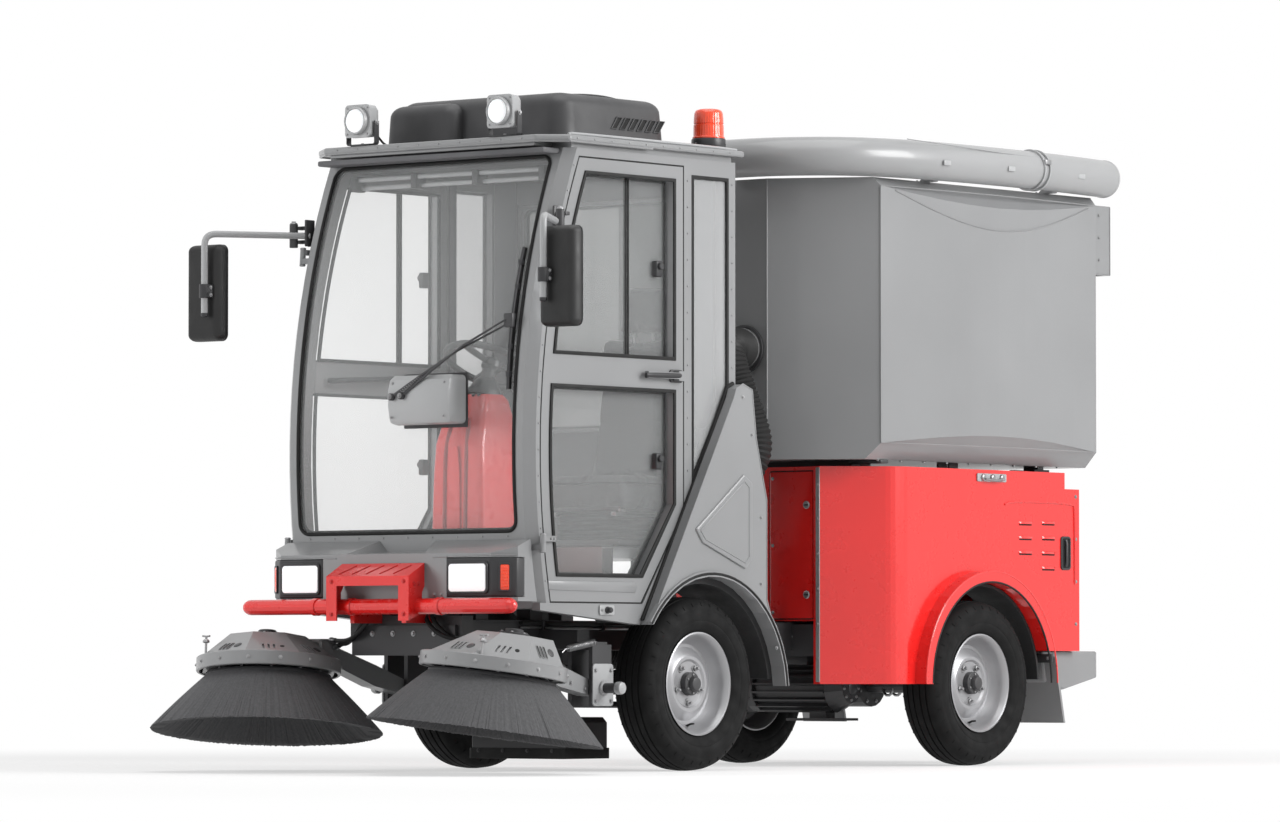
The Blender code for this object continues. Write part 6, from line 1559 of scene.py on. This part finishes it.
def chassis_trim():
    kit = Kit("chassis_trim")
    for _, kit.hand in SIDES:
        rail_side(kit)
    kit.hand = 1
    # battery straps and terminals
    for x in (-0.24, 0.24):
        kit.box((x - 0.02, 1.262, 1.018), (x + 0.02, 1.978, 1.026), 0.003, "steel")
    for x in (-0.28, -0.10, 0.10, 0.28):
        kit.add(lathe(stud(0.018, 0.010, 0.013, 0.014), 24), "bolt", move(x, 1.34, 1.020))
    # drive motor: end cover bolts and cap, terminal box and cable
    kit.bolts([(0.2755, MOTOR[0] + dy, MOTOR[1] + dz) for dy, dz in circle(8, 0.046)], OUT, 0.005)
    cap = [(0, 0.010), (0.018, 0.0095), (0.024, 0.006), (0.026, 0.0), (0, 0)]
    kit.turned(cap, 32, "steel", (0.275, *MOTOR), OUT)
    kit.box((-0.03, 1.30, 0.395), (0.10, 1.42, 0.442), 0.006, "plastic", 3)
    kit.bolts([(x, y, 0.442) for x in (-0.015, 0.085) for y in (1.315, 1.405)], UP, 0.004, washer=False)
    kit.rod([(0.10, 1.36, 0.42), (0.14, 1.36, 0.42), (0.20, 1.33, 0.44), (0.225, 1.26, 0.52),
             (0.20, 1.20, 0.57)], 0.0095, "hose", 12, 3)
    sleeve = [(0, 0.026), (0.0105, 0.026), (0.014, 0.020), (0.0165, 0.010), (0.0165, 0), (0, 0)]
    kit.turned(sleeve, 20, "plastic", (0.10, 1.36, 0.42), OUT)
    # cover bolts on both faces of the differential
    for _, kit.hand in SIDES:
        kit.bolts([(0.1003, REAR_AXLE_Y + dy, AXLE_Z + dz) for dy, dz in circle(8, 0.078, 0.5)], OUT, 0.005)
    # rubber lip round the nozzle and the bolts that hold it
    skirt = rounded(-0.2335, 0.2335, -0.3635, -0.0765, 0.022)
    kit.add(slab(skirt, 0.040, 0.0015, hole=shrunk(skirt, 0.004)), "hose", plan_view(0.045))
    for y, axis in ((-0.3637, FRONT), (-0.0763, REAR)):
        kit.bolts([(x, y, 0.075) for x in (-0.18, -0.06, 0.06, 0.18)], axis, 0.005, "steel")
    kit.done()


def lift_trim():
    """Gland and port fittings on each lift cylinder."""
    foot, head = (0.42, 2.05, 0.70), (0.42, 1.80, 1.14)
    gland = [(0.0335, -0.030), (0.0365, -0.027), (0.0365, -0.004), (0.0335, 0.0), (0.0225, 0.0015),
             (0.0225, -0.002), (0.0330, -0.006)]
    for side, hand in SIDES:
        ram = Kit("lift_cylinder_trim_" + side, "lift_cylinder_" + side, hand)
        start = ram.spot(foot)
        along = ram.spot(head) - start
        length = along.length
        along.normalize()
        ram.add(lathe(gland, 40, closed=True), "steel", facing(start + along * (length - 0.10), along))
        inward = Vector((-hand, 0, 0))
        for share in (0.10, length - 0.16):
            port = stud(0.016, 0.009, 0.011, 0.013, -0.004)
            ram.add(lathe(port, 6), "bolt", facing(start + along * share + inward * 0.033, inward))
        ram.done()


def bake(piece):
    graph = bpy.context.evaluated_depsgraph_get()
    graph.update()
    made = bpy.data.meshes.new_from_object(piece.evaluated_get(graph), depsgraph=graph)
    piece.modifiers.clear()
    old = piece.data
    piece.data = made
    bpy.data.meshes.remove(old)


def cushion(name, low, high, shaped=None, lean=None):
    """A seat pad: a rounded cage, shaped and leant, then swollen as cloth under pressure."""
    shape = block(low, high, 0)
    soften(shape, min(high - low) * 0.34, 4)
    for vert in shape.verts:
        vert.co = shaped(vert.co) if shaped else vert.co
    if lean:
        shape.transform(lean)
    mesh = bpy.data.meshes.new(name)
    shape.to_mesh(mesh)
    shape.free()
    piece = bpy.data.objects.new(name, mesh)
    bpy.context.scene.collection.objects.link(piece)
    mesh.materials.append(LOOKS["cloth"])
    bpy.context.view_layer.objects.active = piece
    remesh = piece.modifiers.new("voxels", "REMESH")
    remesh.mode = "VOXEL"
    remesh.voxel_size = 0.0065
    bake(piece)
    start = [vert.co.copy() for vert in piece.data.vertices]
    soft = piece.modifiers.new("swell", "CLOTH")
    soft.settings.use_pressure = True
    soft.settings.uniform_pressure_force = 4.0
    soft.settings.quality = 5
    soft.settings.tension_stiffness = 25
    soft.settings.effector_weights.gravity = 0
    for step in range(1, 21):
        bpy.context.scene.frame_set(step)
    bake(piece)
    bpy.context.scene.frame_set(1)
    most = 0.024  # the pad may swell by so much
    for vert, home in zip(piece.data.vertices, start):
        swelling = vert.co - home
        if swelling.length > most:
            vert.co = home + swelling.normalized() * most
    fine = piece.modifiers.new("fine", "SUBSURF")
    fine.levels = fine.render_levels = 1
    bake(piece)
    piece.data.shade_smooth()
    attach(piece, "chassis")


def seat():
    """Driver's seat: padded cushion, back and headrest on a boxed base with a bellows."""
    middle = 0.23
    pivot = at(middle, 0.06, 1.05)
    lean = Matrix.Translation(pivot) @ turn(-6, "X") @ Matrix.Translation(-pivot)

    def hollow(co):
        dx, dy = (co.x - middle) / 0.22, (co.y - DATUM_Y + 0.08) / 0.19
        dip = 0.016 * max(0.0, 1 - dx * dx) * max(0.0, 1 - dy * dy)
        return Vector((co.x, co.y, co.z - (dip if co.z > 1.03 else 0.0)))

    def waist(co):
        rise = (co.z - 1.062) / 0.58
        pull = 1 - 0.10 * max(0.0, rise - 0.45) / 0.55
        return Vector((middle + (co.x - middle) * pull, co.y - 0.012 * sin(pi * min(1, max(0, rise))), co.z))

    cushion("seat_cushion", at(0.012, -0.272, 0.988), at(0.448, 0.075, 1.082), hollow)
    cushion("seat_back", at(0.032, 0.020, 1.062), at(0.428, 0.102, 1.640), waist, lean)
    cushion("seat_headrest", at(0.122, 0.030, 1.652), at(0.338, 0.092, 1.822), None, lean)

    kit = Kit("seat_frame")
    for x in (0.185, 0.275):
        kit.add(pipe([at(x, 0.061, 1.60), at(x, 0.061, 1.70)], 0.0055, 12), "bolt", lean)
    kit.add(slab(rounded(0.045, 0.415, 1.075, 1.615, 0.06, 6), 0.012, 0.004), "plastic",
            lean @ front_view(0.100))
    kit.box((0.055, -0.245, 0.966), (0.405, 0.075, 0.986), 0.006, "plastic")
    bellows = []
    for step in range(13):
        swell = 0.010 if step % 2 else 0.0
        ring = rounded(0.082 - swell, 0.378 + swell, -0.215 - swell, 0.072 + swell, 0.03, 4)
        bellows.append([at(x, y, 0.862 + 0.104 * step / 12) for x, y in ring])
    kit.add(loft(bellows), "hose")
    kit.box((0.070, -0.225, 0.8305), (0.390, 0.082, 0.864), 0.006, "steel")
    for x in (0.085, 0.375):
        kit.box((x - 0.012, -0.24, 0.950), (x + 0.012, 0.09, 0.968), 0.003, "bolt")
    kit.rod([(0.42, -0.23, 0.972), (0.44, -0.26, 0.965), (0.44, -0.285, 0.972)], 0.006, "bolt", rounds=2)
    # welt sewn along the cushion's edge
    welt = rounded(0.030, 0.430, -0.262, 0.060, 0.045, 6)
    kit.rod([(x, y, 1.072) for x, y in welt], 0.004, "seal", 8, closed=True)
    kit.done("driver_seat")


# ---- the scene
def dress():
    for part in frame["record"]["subparts"]:
        look_name = NODE_LOOKS.get(part["node"], SLOT_LOOKS.get(part["material_slot"], "steel"))
        mesh = NODES[part["node"]].data
        if not mesh.materials:
            mesh.materials.append(None)
        for slot in range(len(mesh.materials)):
            mesh.materials[slot] = LOOKS[look_name]


camera()
studio()
dress()
for side, hand in SIDES:
    wheel("front", side, hand, FRONT_HALF_TRACK, 0.0)
    wheel("rear", side, hand, REAR_HALF_TRACK, REAR_AXLE_Y)
brushes()
headlights()
work_lights()
beacon()
mirrors()
wiper()
air_unit()
cab_trim()
door_trim()
roof_trim()
lining()
console()
front_trim()
arm_trim()
fender_trim()
cover_trim()
hopper_trim()
rear_trim()
suction_hose()
chassis_trim()
lift_trim()
seat()
